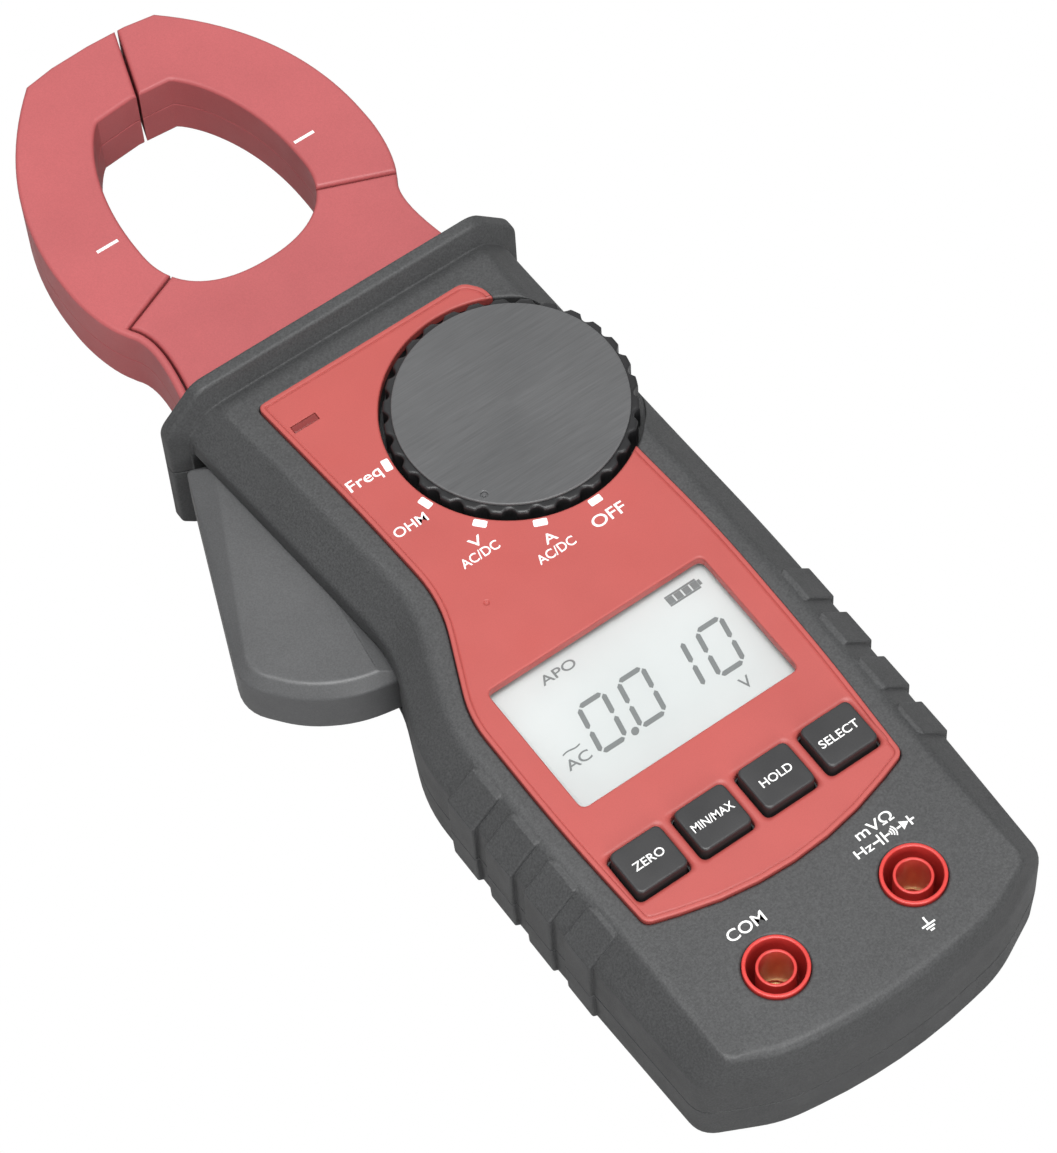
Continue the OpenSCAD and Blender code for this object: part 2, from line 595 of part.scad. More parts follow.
// Walls that close the neck: the lower rim of the opening and the right-hand side.
module neck_wall_2d() intersection() {
    difference() {
        neck_2d();
        offset(delta = -shell_t) difference() {
            polygon(concat(mirrored(outer_half), outer_half));
            polygon(concat(mirrored(inner_half), inner_half));
        }
    }
    polygon([[-12.4, 130], [-12.4, 98], [20, 98], [20, 80], [60, 80], [60, 130]]);
}
module neck_tail_2d() intersection() {
    neck_2d();
    polygon([[-40, 130], [-40, 78.6], [3, 78.6], [3, 68], [24.6, 68], [24.6, 78.6], [40, 78.6],
        [40, 130]]);
}
module neck_half(p0, p1, w0, w1) {
    translate([0, 0, p0]) linear_extrude(p1 - p0) neck_tail_2d();
    translate([0, 0, w0]) linear_extrude(w1 - w0) neck_wall_2d();
    for (p = neck_spots) drum(p.x, p.y, 3.2, w0, w1);
}
module neck_front() color("#d07073")
    difference() {
        neck_half(clamp_z1 - plate_t, clamp_z1, clamp_mid, clamp_z1 - 1);
        drum(pivot_x, pivot_y, pivot_r + 0.03, 10, clamp_z1 - 0.88);
        for (p = neck_spots) drum(p.x, p.y, 1.2, 10, 18.6);
    }
module neck_rear() color("#cc6a6d")
    difference() {
        neck_half(clamp_z0, clamp_z0 + plate_t, clamp_z0 + 1, clamp_mid - 0.04);
        drum(pivot_x, pivot_y, pivot_r + 0.03, clamp_z0 + 0.88, 20);
        for (p = neck_spots) drum(p.x, p.y, 1.5, 0, 20);
    }

front_case();
rear_case();
face_panel();
indicator_lens();
indicator_led();
lcd_window();
lcd_glass();
lcd_frame();
zebra_strips();
backlight();
button_zero();
button_min_max();
button_hold();
button_select();
keypad_mat();
rotary_knob();
knob_cap();
knob_screw();
switch_rotor();
wiper_contacts();
main_board();
board_chips();
input_protection();
buzzer();
socket_com();
socket_volt();
socket_contacts();
battery_cells();
battery_contacts();
battery_door();
door_screw();
case_screws();
trigger_lever();
lever_spring();
pivot_pin();
moving_jaw_front();
moving_jaw_rear();
moving_core();
fixed_jaw_front();
fixed_jaw_rear();
fixed_core();
hall_sensor();
sensor_lead();
neck_front();
neck_rear();
neck_screws();
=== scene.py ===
import json
import math
import bpy
import bmesh
from mathutils import Matrix, Vector


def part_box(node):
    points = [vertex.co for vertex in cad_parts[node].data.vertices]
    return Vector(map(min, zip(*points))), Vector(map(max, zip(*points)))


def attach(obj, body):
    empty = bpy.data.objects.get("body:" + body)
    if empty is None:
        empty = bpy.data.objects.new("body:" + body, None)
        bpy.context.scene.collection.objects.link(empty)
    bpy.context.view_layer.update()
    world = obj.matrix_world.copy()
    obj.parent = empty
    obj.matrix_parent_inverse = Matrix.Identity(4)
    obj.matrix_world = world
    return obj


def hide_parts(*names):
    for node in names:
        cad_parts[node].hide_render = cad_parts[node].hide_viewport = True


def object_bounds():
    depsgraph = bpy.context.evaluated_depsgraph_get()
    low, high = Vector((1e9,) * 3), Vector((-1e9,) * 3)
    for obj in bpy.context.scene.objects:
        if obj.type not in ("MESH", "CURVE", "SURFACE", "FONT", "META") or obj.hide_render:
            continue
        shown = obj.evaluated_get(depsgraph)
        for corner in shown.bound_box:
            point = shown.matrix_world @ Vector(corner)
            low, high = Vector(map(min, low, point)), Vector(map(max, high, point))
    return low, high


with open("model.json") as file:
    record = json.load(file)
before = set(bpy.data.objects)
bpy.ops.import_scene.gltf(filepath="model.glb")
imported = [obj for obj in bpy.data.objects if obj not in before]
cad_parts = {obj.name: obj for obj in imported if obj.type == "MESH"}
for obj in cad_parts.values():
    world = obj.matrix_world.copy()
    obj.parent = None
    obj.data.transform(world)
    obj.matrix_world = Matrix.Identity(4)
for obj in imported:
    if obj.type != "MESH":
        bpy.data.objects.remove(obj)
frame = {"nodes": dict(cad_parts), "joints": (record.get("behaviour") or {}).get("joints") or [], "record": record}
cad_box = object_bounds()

# Lengths in this script are millimetres in the frame of the part; meshes are made in metres.
MM = 0.001


# ---------------- sizes from the frame
def low(node, axis):
    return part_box(node)[0]["xyz".index(axis)] / MM


def high(node, axis):
    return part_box(node)[1]["xyz".index(axis)] / MM


def joint_place(name):
    joint = next(j for j in frame["joints"] if j["name"] == name)
    return [v / MM for v in joint["pos_m"]]


PART_Z = low("front_case", "z")
PANEL_Z = high("face_panel", "z")
PANEL_T = PANEL_Z - low("face_panel", "z")
FACE_Z = PANEL_Z - 0.5
BEVEL_Z = 23.2
GUARD_TOP = high("front_case", "z")
GUARD_Y = high("front_case", "y")
HUMP_Z = -3.0
WALL = 2.0
GROOVE = 0.22       # depth and height of the parting groove round each half of the case
KNOB_X, KNOB_Y = joint_place("range_turn")[:2]
KNOB_R = (high("rotary_knob", "x") - low("rotary_knob", "x")) / 2
CAP_R = (high("knob_cap", "x") - low("knob_cap", "x")) / 2
WELL_R = KNOB_R + 1
WELL_Z = low("rotary_knob", "z") + 1.8
HUB_R = 7.95
SWITCH_STEP = 24.5
KEY_NODES = ["button_zero", "button_min_max", "button_hold", "button_select"]
KEY_TOP = high("button_zero", "z")
KEY_W, KEY_H = 10.1, 9.0
LCD_W, LCD_H = 44.7, 27.6
LCD_Y = (low("lcd_window", "y") + high("lcd_window", "y")) / 2
SOCKET_NODES = ["socket_com", "socket_volt"]
CLAMP_Z0, CLAMP_Z1 = low("neck_rear", "z"), high("neck_front", "z")
CLAMP_MID = low("fixed_jaw_front", "z")
PIVOT_X, PIVOT_Y = joint_place("clamp_hinge")[:2]
PIVOT_R = 2.5
FAR = 60            # half width of cutters that go right through
SHELL_T = 1.7       # wall of the jaws and the neck
FACE_T = 1.6        # closed face of a jaw half
NECK_T = 2.5        # closed face of a neck half
SKIRT_T = 1.6       # the moving jaw's skirt beside the neck
CLAMP_EDGE = 0.75   # rounding of the clamp's outer edges
SEAM = 0.12         # groove where two jaw halves meet
REAR_GAP = 0.04     # by which the rear halves stay short of the parting height
SCREW_SPOTS = [(26.5, -70), (-26.5, -70), (28.3, 10), (-26.5, 10), (28.6, 71.5)]
NECK_SPOTS = [(8, 74), (20, 74)]


def centre(node):
    return (low(node, "x") + high(node, "x")) / 2, (low(node, "y") + high(node, "y")) / 2


# ---------------- outlines
# Control corners, anticlockwise: x, y and the run over which the corner is rounded.
WALL_CORNERS = [(35.3, -74.8, 3), (36.9, -28, 14), (37.2, 2, 12), (36.2, 30, 12), (35.2, 72, 3),
                (35.1, 88, 0.5), (-33.7, 88, 0.5), (-28.7, 21.5, 6), (-36.8, 2, 6),
                (-36.9, -28, 14), (-35.4, -74.8, 3), (-22.6, -81.2, 4), (0, -84.8, 16),
                (22.6, -81.2, 4)]
FACE_CORNERS = [(30.3, -75.9, 1.5), (31, -28, 14), (31.2, 2, 12), (30.6, 30, 12), (29.6, 70, 3),
                (29.6, 76.6, 3), (-26.9, 76.6, 3), (-22, 25.5, 6), (-31, 1, 6), (-31.1, -28, 14),
                (-30.3, -75.9, 1.5), (-21.5, -79.9, 4), (0, -83, 16), (21.5, -79.9, 4)]
PANEL_CORNERS = [(26.3, -48.4, 1.5), (27.6, -26, 10), (28, 5, 10), (26.4, 29, 6),
                 (24.5, 69.5, 1.5), (22, 72.7, 1.5), (-21.6, 72.7, 1.5), (-19.2, 43, 8),
                 (-18.2, 21.5, 7), (-27.5, 0, 5), (-27.6, -26, 10), (-26.5, -48.5, 1.5),
                 (0, -57, 22)]
TRIGGER_CORNERS = [(-24.5, 18.2, 1), (-24.5, 60, 3), (-29.8, 74.4, 1), (-35.4, 76.6, 1),
                   (-52.1, 34.6, 4.5), (-45.3, 25.8, 4), (-37.2, 20.6, 5)]
GUARD_CORNERS = [(38.5, -3.4, 0.8), (38.5, 24.6, 2), (31, GUARD_TOP, 2), (-28.8, GUARD_TOP, 2),
                 (-36.5, 24.5, 2), (-36.5, -3.4, 0.8), (-33.7, -6.2, 0.8), (35.7, -6.2, 0.8)]
GUARD_ROOT = [(34.6, -0.2, 0.8), (34.8, 23, 2), (29.3, 28.3, 2), (-27, 28.3, 2), (-33.2, 23, 2),
              (-33.2, -0.2, 0.8), (-31, -2.6, 0.8), (32.4, -2.6, 0.8)]


def curve(a, q, b, steps):
    """Points of the arc-like blend from a to b that is pulled towards the corner q."""
    return [a * (1 - k / steps) ** 2 + q * (2 * k / steps * (1 - k / steps)) + b * (k / steps) ** 2
            for k in range(steps + 1)]


def rounded(p, q, r, run, steps):
    """The corner q between p and r, rounded over its run."""
    return curve(q + (p - q).normalized() * run, q, q + (r - q).normalized() * run, steps)


def blend(corners, steps=6):
    """A corner polygon with every corner replaced by a short curve."""
    out = []
    count = len(corners)
    for i, (x, y, run) in enumerate(corners):
        q = Vector((x, y))
        p = Vector(corners[i - 1][:2])
        r = Vector(corners[(i + 1) % count][:2])
        out += rounded(p, q, r, run, steps)
    return out


def inset(corners, d):
    """The same corners moved inwards by d, or outwards when d is negative."""
    out = []
    count = len(corners)
    for i, (x, y, *rest) in enumerate(corners):
        q = Vector((x, y))
        u = (q - Vector(corners[i - 1][:2])).normalized()
        v = (Vector(corners[(i + 1) % count][:2]) - q).normalized()
        shift = Vector((-u.y - v.y, u.x + v.x)) * (d / (1 + u.dot(v)))
        out.append((x + shift.x, y + shift.y, *rest))
    return out


def distance(p, outline):
    """How far p lies from the closed outline."""
    best = 1e9
    for i, b in enumerate(outline):
        a = outline[i - 1]
        t = max(0.0, min(1.0, (p - a).dot(b - a) / (b - a).length_squared))
        best = min(best, (p - a.lerp(b, t)).length)
    return best


def shrunk(outline, d):
    """A dense outline moved inwards by d; points that would cross over join their neighbour."""
    moved = [Vector(p) for p in inset(outline, d)]
    good = [i for i, p in enumerate(moved) if distance(p, outline) > 0.985 * d]
    count = len(outline)

    def away(i, j):
        return min((i - j) % count, (j - i) % count)
    return [moved[min(good, key=lambda j: away(i, j))] for i in range(count)]


def bezier(a, b, c, d, steps=20):
    out = []
    for k in range(steps + 1):
        s, t = k / steps, 1 - k / steps
        out.append(Vector(a) * t ** 3 + Vector(b) * 3 * s * t * t + Vector(c) * 3 * s * s * t
                   + Vector(d) * s ** 3)
    return out


def mirrored(points):
    return [Vector((-p[0], p[1])) for p in reversed(points)]


def circle(x, y, r, count=96):
    return [Vector((x + r * math.cos(math.tau * k / count), y + r * math.sin(math.tau * k / count)))
            for k in range(count)]


# ---------------- mesh tools
def linked(name, mesh):
    obj = bpy.data.objects.new(name, mesh)
    bpy.context.scene.collection.objects.link(obj)
    return obj


def discard(obj):
    scrap = obj.data
    bpy.data.objects.remove(obj)
    bpy.data.meshes.remove(scrap)


def new_object(name, points, faces):
    mesh = bpy.data.meshes.new(name)
    mesh.from_pydata([Vector(p) * MM for p in points], [], faces)
    work = bmesh.new()
    work.from_mesh(mesh)
    bmesh.ops.remove_doubles(work, verts=work.verts, dist=1e-6)
    bmesh.ops.recalc_face_normals(work, faces=work.faces)
    work.to_mesh(mesh)
    work.free()
    return linked(name, mesh)


def ring(points, z):
    return [Vector((p[0], p[1], z)) for p in points]


def soften(rings, runs, steps=4):
    """The rings of a section, with each corner of the section rounded over its run."""
    out = []
    for k, (corner, run) in enumerate(zip(rings, runs)):
        if not run:
            out.append(corner)
            continue
        rows = [rounded(p, q, r, run, steps)
                for p, q, r in zip(rings[k - 1], corner, rings[k + 1])]
        out += [list(row) for row in zip(*rows)]
    return out


def loft(name, rings):
    """A closed solid through rings of equal point count."""
    n = len(rings[0])
    faces = [[k * n + i, k * n + (i + 1) % n, (k + 1) * n + (i + 1) % n, (k + 1) * n + i]
             for k in range(len(rings) - 1) for i in range(n)]
    faces += [list(range(n)), list(range((len(rings) - 1) * n, len(rings) * n))]
    return new_object(name, [p for row in rings for p in row], faces)


def profiled(name, outline, section, steps=4):
    """A solid through rows of (inset d, height, corner run). outline(d) gives its points."""
    rings = [ring(outline(d), z) for d, z, run in section]
    return loft(name, soften(rings, [run for d, z, run in section], steps))


def slab(name, outline, z0, z1, low_run=0.0, high_run=0.0):
    """A plate whose lower and upper edges are rounded over their runs."""
    section = [(0, z0, low_run), (0, z1, high_run)]
    if low_run:
        section.insert(0, (2 * low_run, z0, 0))
    if high_run:
        section.append((2 * high_run, z1, 0))
    return profiled(name, outline, section)


def plate(corners):
    return lambda d: blend(inset(corners, d))


def dense(outline):
    return lambda d: shrunk(outline, d) if d else outline


def oblong(w, h, run, x=0, y=0):
    return plate([(x + u * w / 2, y + v * h / 2, run) for u, v in ((1, -1), (1, 1), (-1, 1),
                                                                   (-1, -1))])


def disc(x, y, r, count=96):
    return lambda d: circle(x, y, r - d, count)


def key_shape(node, more, run):
    return oblong(KEY_W + more, KEY_H + more, run, *centre(node))


def screen_shape(more_w, more_h, run):
    return oblong(LCD_W + more_w, LCD_H + more_h, run, 0, LCD_Y)


def box(name, x0, x1, y0, y1, z0, z1):
    return loft(name, [ring([(x1, y0), (x1, y1), (x0, y1), (x0, y0)], z) for z in (z0, z1)])


def drum(name, x, y, r, z0, z1, count=96):
    return slab(name, disc(x, y, r, count), z0, z1)


def flared(name, outline, z0, z1, flare, proud=0.6):
    """A cutter that leaves a rounded rim of the given width where it comes out at height z1."""
    steps = 5
    rings = [ring(outline(0), z0)]
    for k in range(steps + 1):
        a = math.pi / 2 * k / steps
        rings.append(ring(outline(-flare * (1 - math.cos(a))), z1 - flare + flare * math.sin(a)))
    rings.append(ring(outline(-flare), z1 + proud))
    return loft(name, rings)


def lathe(name, profile, x, y):
    """Turns a section (radius, height, corner run) that starts and ends on the axis."""
    count = 72
    line = []
    for i, (r, z, run) in enumerate(profile):
        q = Vector((r, z))
        if run:
            line += rounded(Vector(profile[i - 1][:2]), q, Vector(profile[i + 1][:2]), run, 3)
        else:
            line.append(q)
    inner = line[1:-1]
    points = [(x, y, line[0].y)]
    for p in inner:
        points += ring(circle(x, y, p.x, count), p.y)
    points.append((x, y, line[-1].y))
    last = len(points) - 1
    faces = [[0, 1 + (i + 1) % count, 1 + i] for i in range(count)]
    for k in range(len(inner) - 1):
        a = 1 + k * count
        faces += [[a + i, a + (i + 1) % count, a + count + (i + 1) % count, a + count + i]
                  for i in range(count)]
    a = 1 + (len(inner) - 1) * count
    faces += [[a + i, a + (i + 1) % count, last] for i in range(count)]
    return new_object(name, points, faces)


def boolean(target, tool, operation):
    step = target.modifiers.new(operation, "BOOLEAN")
    step.operation = operation
    step.solver = "EXACT"
    step.object = tool
    evaluated = target.evaluated_get(bpy.context.evaluated_depsgraph_get())
    mesh = bpy.data.meshes.new_from_object(evaluated)
    target.modifiers.clear()
    old = target.data
    target.data = mesh
    bpy.data.meshes.remove(old)
    discard(tool)
    return target


def cut(target, *tools):
    for tool in tools:
        boolean(target, tool, "DIFFERENCE")
    return target


def fuse(target, *tools):
    for tool in tools:
        boolean(target, tool, "UNION")
    return target


def common(target, tool):
    return boolean(target, tool, "INTERSECT")


def joined(name, objects):
    """One object from several that don't touch each other."""
    work = bmesh.new()
    for obj in objects:
        work.from_mesh(obj.data)
    mesh = bpy.data.meshes.new(name)
    work.to_mesh(mesh)
    work.free()
    for obj in objects:
        discard(obj)
    return linked(name, mesh)


def smooth(obj, angle=32):
    """Cleans the mesh, and shades it smooth with its true edges kept crisp."""
    work = bmesh.new()
    work.from_mesh(obj.data)
    bmesh.ops.remove_doubles(work, verts=work.verts, dist=2e-6)
    bmesh.ops.dissolve_degenerate(work, dist=1e-6, edges=work.edges)
    for face in work.faces:
        face.smooth = True
    work.to_mesh(obj.data)
    work.free()
    obj.data.set_sharp_from_angle(angle=math.radians(angle))
    weighted = obj.modifiers.new("normals", "WEIGHTED_NORMAL")
    weighted.mode = "FACE_AREA_WITH_ANGLE"
    weighted.keep_sharp = True
    return obj


# ---------------- materials
MATERIALS = {}


class Shader:
    """A node material on the Principled shader, with short ways to add nodes."""

    def __init__(self, name):
        self.material = bpy.data.materials.new(name)
        MATERIALS[name] = self.material
        self.material.use_nodes = True
        self.tree = self.material.node_tree
        self.shader = self.tree.nodes["Principled BSDF"]
        self.place = self.tree.nodes.new("ShaderNodeTexCoord").outputs["Object"]

    def feed(self, slot, value):
        """Links a socket to an input, or sets the input to a value."""
        if isinstance(value, bpy.types.NodeSocket):
            self.tree.links.new(value, slot)
        else:
            slot.default_value = value

    def node(self, kind, inputs=None, **settings):
        made = self.tree.nodes.new("ShaderNode" + kind)
        for key, value in settings.items():
            setattr(made, key, value)
        for key, value in (inputs or {}).items():
            self.feed(made.inputs[key], value)
        return made

    def noise(self, size_mm, detail=3.0, vector=None, roughness=0.55):
        """A cloud pattern whose features are about size_mm across."""
        made = self.node("TexNoise", {"Vector": vector or self.place, "Scale": 1 / (size_mm * MM),
                                      "Detail": detail, "Roughness": roughness})
        return made.outputs["Fac"]

    def stretched(self, x, y, z):
        return self.node("Mapping", {"Vector": self.place, "Scale": (x, y, z)}).outputs["Vector"]

    def spread(self, value, low_out, high_out, low_in=0.3, high_in=0.7):
        made = self.node("MapRange", {"Value": value, "From Min": low_in, "From Max": high_in,
                                      "To Min": low_out, "To Max": high_out})
        return made.outputs["Result"]

    def tint(self, color, factor):
        """The colour made brighter or darker by a factor socket."""
        return self.node("VectorMath", {0: color, 1: factor},
                         operation="MULTIPLY").outputs["Vector"]

    def product(self, a, *more):
        for b in more:
            a = self.node("Math", {0: a, 1: b}, operation="MULTIPLY").outputs["Value"]
        return a

    def edges(self, radius_mm):
        """How far a surface point is from flat, within radius_mm: 0 on flats, 1 on tight edges."""
        rounded = self.node("Bevel", {"Radius": radius_mm * MM}, samples=4).outputs["Normal"]
        flat = self.node("NewGeometry").outputs["Normal"]
        dot = self.node("VectorMath", {0: rounded, 1: flat}, operation="DOT_PRODUCT")
        return rounded, self.spread(dot.outputs["Value"], 0.0, 1.0, 0.995, 0.86)

    def bump(self, height, depth_mm, normal=None):
        inputs = {"Height": height, "Distance": depth_mm * MM}
        if normal is not None:
            inputs["Normal"] = normal
        return self.node("Bump", inputs).outputs["Normal"]

    def finish(self, **values):
        for key, value in values.items():
            self.feed(self.shader.inputs[key.replace("_", " ")], value)
        return self.material

    def mix(self, share, first, second):
        """Shows a mix of two shaders instead of the Principled one alone."""
        mixed = self.node("MixShader", {0: share, 1: first, 2: second}).outputs["Shader"]
        self.feed(self.tree.nodes["Material Output"].inputs["Surface"], mixed)


def rgba(r, g, b):
    return (r, g, b, 1.0)


def plastic(name, color, roughness, grain_mm=0.32, grain_depth=0.02, speckle=0.16, tone=0.08,
            wear=0.35, edge_mm=0.35, coat=0.0):
    """Moulded plastic or rubber: spark-eroded grain, slow tone changes and rubbed edges."""
    s = Shader(name)
    grain = s.noise(grain_mm, 2.0, roughness=0.65)
    slow = s.noise(18, 4.0)
    fine = s.spread(grain, 1 - speckle, 1 + speckle)
    broad = s.spread(slow, 1 - tone, 1 + tone)
    normal, edge = s.edges(edge_mm)
    rubbed = s.product(edge, s.spread(s.noise(3.5, 4.0), 0.2, 1.0))
    lift = s.spread(rubbed, 1.0, 1.0 + wear, 0.0, 1.0)
    rough = s.spread(s.noise(7, 5.0), roughness - 0.05, roughness + 0.06)
    return s.finish(Base_Color=s.tint(color, s.product(fine, broad, lift)), Roughness=rough,
                    Specular_IOR_Level=0.5, Coat_Weight=coat, Coat_Roughness=0.3,
                    Normal=s.bump(grain, grain_depth, normal))


def metal(name, color, roughness, stretch=(1, 1, 30)):
    """Drawn or plated metal with fine lines along one axis and a slightly uneven lustre."""
    s = Shader(name)
    lines = s.noise(0.25, 3.0, s.stretched(*stretch))
    slow = s.noise(4, 4.0)
    normal = s.edges(0.15)[0]
    base = s.tint(color, s.product(s.spread(lines, 0.9, 1.08), s.spread(slow, 0.9, 1.1)))
    rough = s.spread(lines, roughness - 0.06, roughness + 0.08)
    return s.finish(Base_Color=base, Metallic=1.0, Roughness=rough,
                    Normal=s.bump(lines, 0.008, normal))


def turned_cap(name, color):
    """The switch cap: very fine straight brush lines over satin plastic, with a painted highlight along its edges.
    """
    s = Shader(name)
    lines = s.noise(0.22, 3.0, s.stretched(0.03, 1.0, 1.0))
    coarse = s.noise(0.7, 2.0, s.stretched(0.02, 1.0, 1.0))
    slow = s.noise(14, 3.0)
    normal, edge = s.edges(0.3)
    # The last term is a painted highlight: the cap's colour is lifted up to 1.8 times along its edges.
    factor = s.product(s.spread(lines, 0.90, 1.10), s.spread(coarse, 0.95, 1.05),
                       s.spread(slow, 0.96, 1.05), s.spread(edge, 1.0, 1.8, 0.0, 1.0))
    return s.finish(Base_Color=s.tint(color, factor),
                    Roughness=s.spread(lines, 0.34, 0.46), Specular_IOR_Level=0.45,
                    Anisotropic=0.3, Normal=s.bump(lines, 0.006, normal))


def clear_window(name):
    """Clear moulded window: almost all light passes, with a thin reflection at the surface."""
    s = Shader(name)
    through = s.node("BsdfTransparent", {"Color": rgba(0.97, 0.98, 0.98)}).outputs["BSDF"]
    haze = s.spread(s.noise(6, 4.0), 0.05, 0.12)
    shine = s.node("BsdfGlossy", {"Color": rgba(1, 1, 1), "Roughness": haze}).outputs["BSDF"]
    inside = s.node("NewGeometry").outputs["Backfacing"]
    share = s.product(s.node("Fresnel", {"IOR": 1.35}).outputs["Fac"],
                      s.spread(inside, 1.0, 0.0, 0.0, 1.0))
    s.mix(share, through, shine)


def display_glass(name, color):
    """Reflective display: pale grey with a faint pixel-free grain, a slow change of tone and a faint painted glow.
    """
    s = Shader(name)
    grain = s.noise(0.12, 2.0)
    slow = s.noise(20, 2.0)
    factor = s.product(s.spread(grain, 0.975, 1.02), s.spread(slow, 0.96, 1.02))
    base = s.tint(color, factor)
    # The emission is a painted glow: the display gives off a little light of its own colour, though there is no
    # lamp behind it.
    return s.finish(Base_Color=base, Roughness=0.38, Specular_IOR_Level=0.3,
                    Emission_Color=base, Emission_Strength=0.02, Normal=s.bump(grain, 0.002))


def ink(name, color, roughness=0.5):
    """Pad-printed ink, a little uneven."""
    s = Shader(name)
    grain = s.noise(0.25, 3.0)
    return s.finish(Base_Color=s.tint(color, s.spread(grain, 0.93, 1.03)), Roughness=roughness,
                    Normal=s.bump(grain, 0.004))


def circuit_board(name, color):
    """Solder mask with faint copper tracks under it."""
    s = Shader(name)
    tracks = s.node("TexBrick", {"Vector": s.place, "Scale": 420.0, "Mortar Size": 0.06,
                                 "Color1": rgba(1, 1, 1), "Color2": rgba(0.9, 0.9, 0.9),
                                 "Mortar": rgba(1.7, 1.7, 1.7)}).outputs["Color"]
    slow = s.noise(5, 4.0)
    base = s.tint(s.tint(color, tracks), s.spread(slow, 0.9, 1.1))
    return s.finish(Base_Color=base, Roughness=0.35, Coat_Weight=0.4,
                    Normal=s.bump(s.noise(0.5), 0.01))


plastic("case_black", (0.049, 0.050, 0.051), 0.52, grain_mm=0.36, grain_depth=0.035,
        speckle=0.32, tone=0.07, wear=0.30, edge_mm=0.45)
plastic("panel_red", (0.415, 0.076, 0.067), 0.47, grain_mm=0.22, grain_depth=0.008, speckle=0.05,
        tone=0.04, wear=0.10, edge_mm=0.3)
plastic("jaw_red", (0.425, 0.092, 0.096), 0.48, grain_mm=0.24, grain_depth=0.012, speckle=0.07,
        tone=0.05, wear=0.12, edge_mm=0.3)
plastic("lens_red", (0.20, 0.028, 0.026), 0.2, speckle=0.12, grain_depth=0.01, coat=0.5)
plastic("led_clear", (0.75, 0.45, 0.40), 0.15, grain_depth=0.003)
clear_window("window_clear")
display_glass("display_glass", (0.62, 0.625, 0.62))
plastic("white_plastic", (0.72, 0.73, 0.71), 0.5, grain_depth=0.006, speckle=0.04)
plastic("zebra_rubber", (0.55, 0.20, 0.24), 0.6, speckle=0.1)
plastic("light_guide", (0.80, 0.84, 0.80), 0.3, grain_depth=0.003)
plastic("key_black", (0.030, 0.030, 0.031), 0.40, grain_mm=0.25, grain_depth=0.006, speckle=0.10,
        wear=0.3, edge_mm=0.3)
plastic("mat_rubber", (0.30, 0.31, 0.31), 0.7)
plastic("knob_black", (0.016, 0.016, 0.017), 0.34, grain_depth=0.004, speckle=0.08, wear=0.8,
        edge_mm=0.4)
turned_cap("cap_grey", (0.090, 0.091, 0.093))
metal("screw_steel", (0.55, 0.55, 0.54), 0.32)
metal("contact_brass", (0.75, 0.55, 0.25), 0.28)
metal("contact_steel", (0.68, 0.68, 0.66), 0.25)
metal("spring_steel", (0.45, 0.45, 0.44), 0.3)
metal("pin_steel", (0.6, 0.6, 0.6), 0.22)
circuit_board("board_green", (0.03, 0.17, 0.07))
plastic("chip_black", (0.02, 0.02, 0.022), 0.45, grain_mm=0.12, grain_depth=0.006)
plastic("varistor_blue", (0.04, 0.11, 0.42), 0.3, grain_mm=0.8, coat=0.5)
plastic("socket_red", (0.60, 0.045, 0.038), 0.33, grain_mm=0.4, grain_depth=0.006, speckle=0.04,
        wear=0.12, edge_mm=0.3, coat=0.2)
plastic("cell_wrap", (0.28, 0.33, 0.40), 0.3, speckle=0.05, coat=0.6)
plastic("trigger_black", (0.082, 0.083, 0.085), 0.44, grain_mm=0.30, grain_depth=0.022,
        speckle=0.15, wear=0.30, edge_mm=0.45)
metal("core_iron", (0.20, 0.20, 0.21), 0.5, stretch=(1, 1, 12))
plastic("lead_red", (0.42, 0.03, 0.03), 0.45)
ink("ink_white", (0.86, 0.86, 0.85))
ink("ink_grey", (0.20, 0.205, 0.205), 0.4)


def paint(obj, material):
    obj.data.materials.clear()
    obj.data.materials.append(MATERIALS[material])


def piece(obj, *place):
    """Finishes a solid: cleaned and shaded, then dressed."""
    return dress(smooth(obj), *place)


def dress(obj, body, slot, *nodes, shine=None):
    """Puts a finished piece on its body, in its material slot, in place of CAD nodes."""
    paint(obj, shine or slot)
    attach(obj, body)
    if nodes:
        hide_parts(*nodes)
    return obj


# ---------------- case
def guard():
    def section(corners, y):
        return [Vector((p[0], y, p[1])) for p in blend(corners)]
    rings = [section(GUARD_ROOT, 77.2), section(GUARD_ROOT, 78.3), section(GUARD_CORNERS, 79.9),
             section(GUARD_CORNERS, GUARD_Y), section(inset(GUARD_CORNERS, 1.6), GUARD_Y)]
    return loft("guard", soften(rings, [0, 0, 0.5, 0.6, 0]))


GRIP_LENGTH, GRIP_PITCH, GRIP_FIRST = 7.4, 10.7, -11.4
FRONT_PAD = [(0.7, PART_Z + 0.1), (0.7, 23.4), (-4.6, 28.6), (-6.2, 28.6), (-6.2, 26.4),
             (-1.2, 22), (-1.2, PART_Z + 0.1)]
REAR_PAD = [(0.7, PART_Z - 0.15), (-3.4, PART_Z - 0.15), (-3.4, 3.2), (-1.8, 3.2), (0.4, 5)]


def side_x(y):
    return 36.9 + (y + 28) * (0.01 if y > -28 else 0.034)


def grip_pads(section):
    """Four pads on each side: a section across the wall, run along the handle, with a tab end."""
    pads = []
    half = GRIP_LENGTH / 2
    for k in range(4):
        y = GRIP_FIRST - k * GRIP_PITCH
        for s in (-1, 1):
            def cross_section(d, at):
                return [Vector((s * (side_x(y) + p[0]), at, p[1])) for p in inset(section, d)]
            rings = soften([cross_section(0.6, y - half), cross_section(0, y - half),
                            cross_section(0, y + half), cross_section(0.6, y + half)],
                           [0, 0.45, 0.45, 0], 3)
            pad = loft("pad", rings)
            tab = [(s * 45, y - 5), (s * 45, y + 5), (s * 33.2, y + 5), (s * 30.7, y + 2.0),
                   (s * 30.7, y - 2.6), (s * 32.6, y - 5)]
            pads.append(common(pad, loft("tab", [ring(tab, z) for z in (0, 40)])))
    return joined("pads", pads)


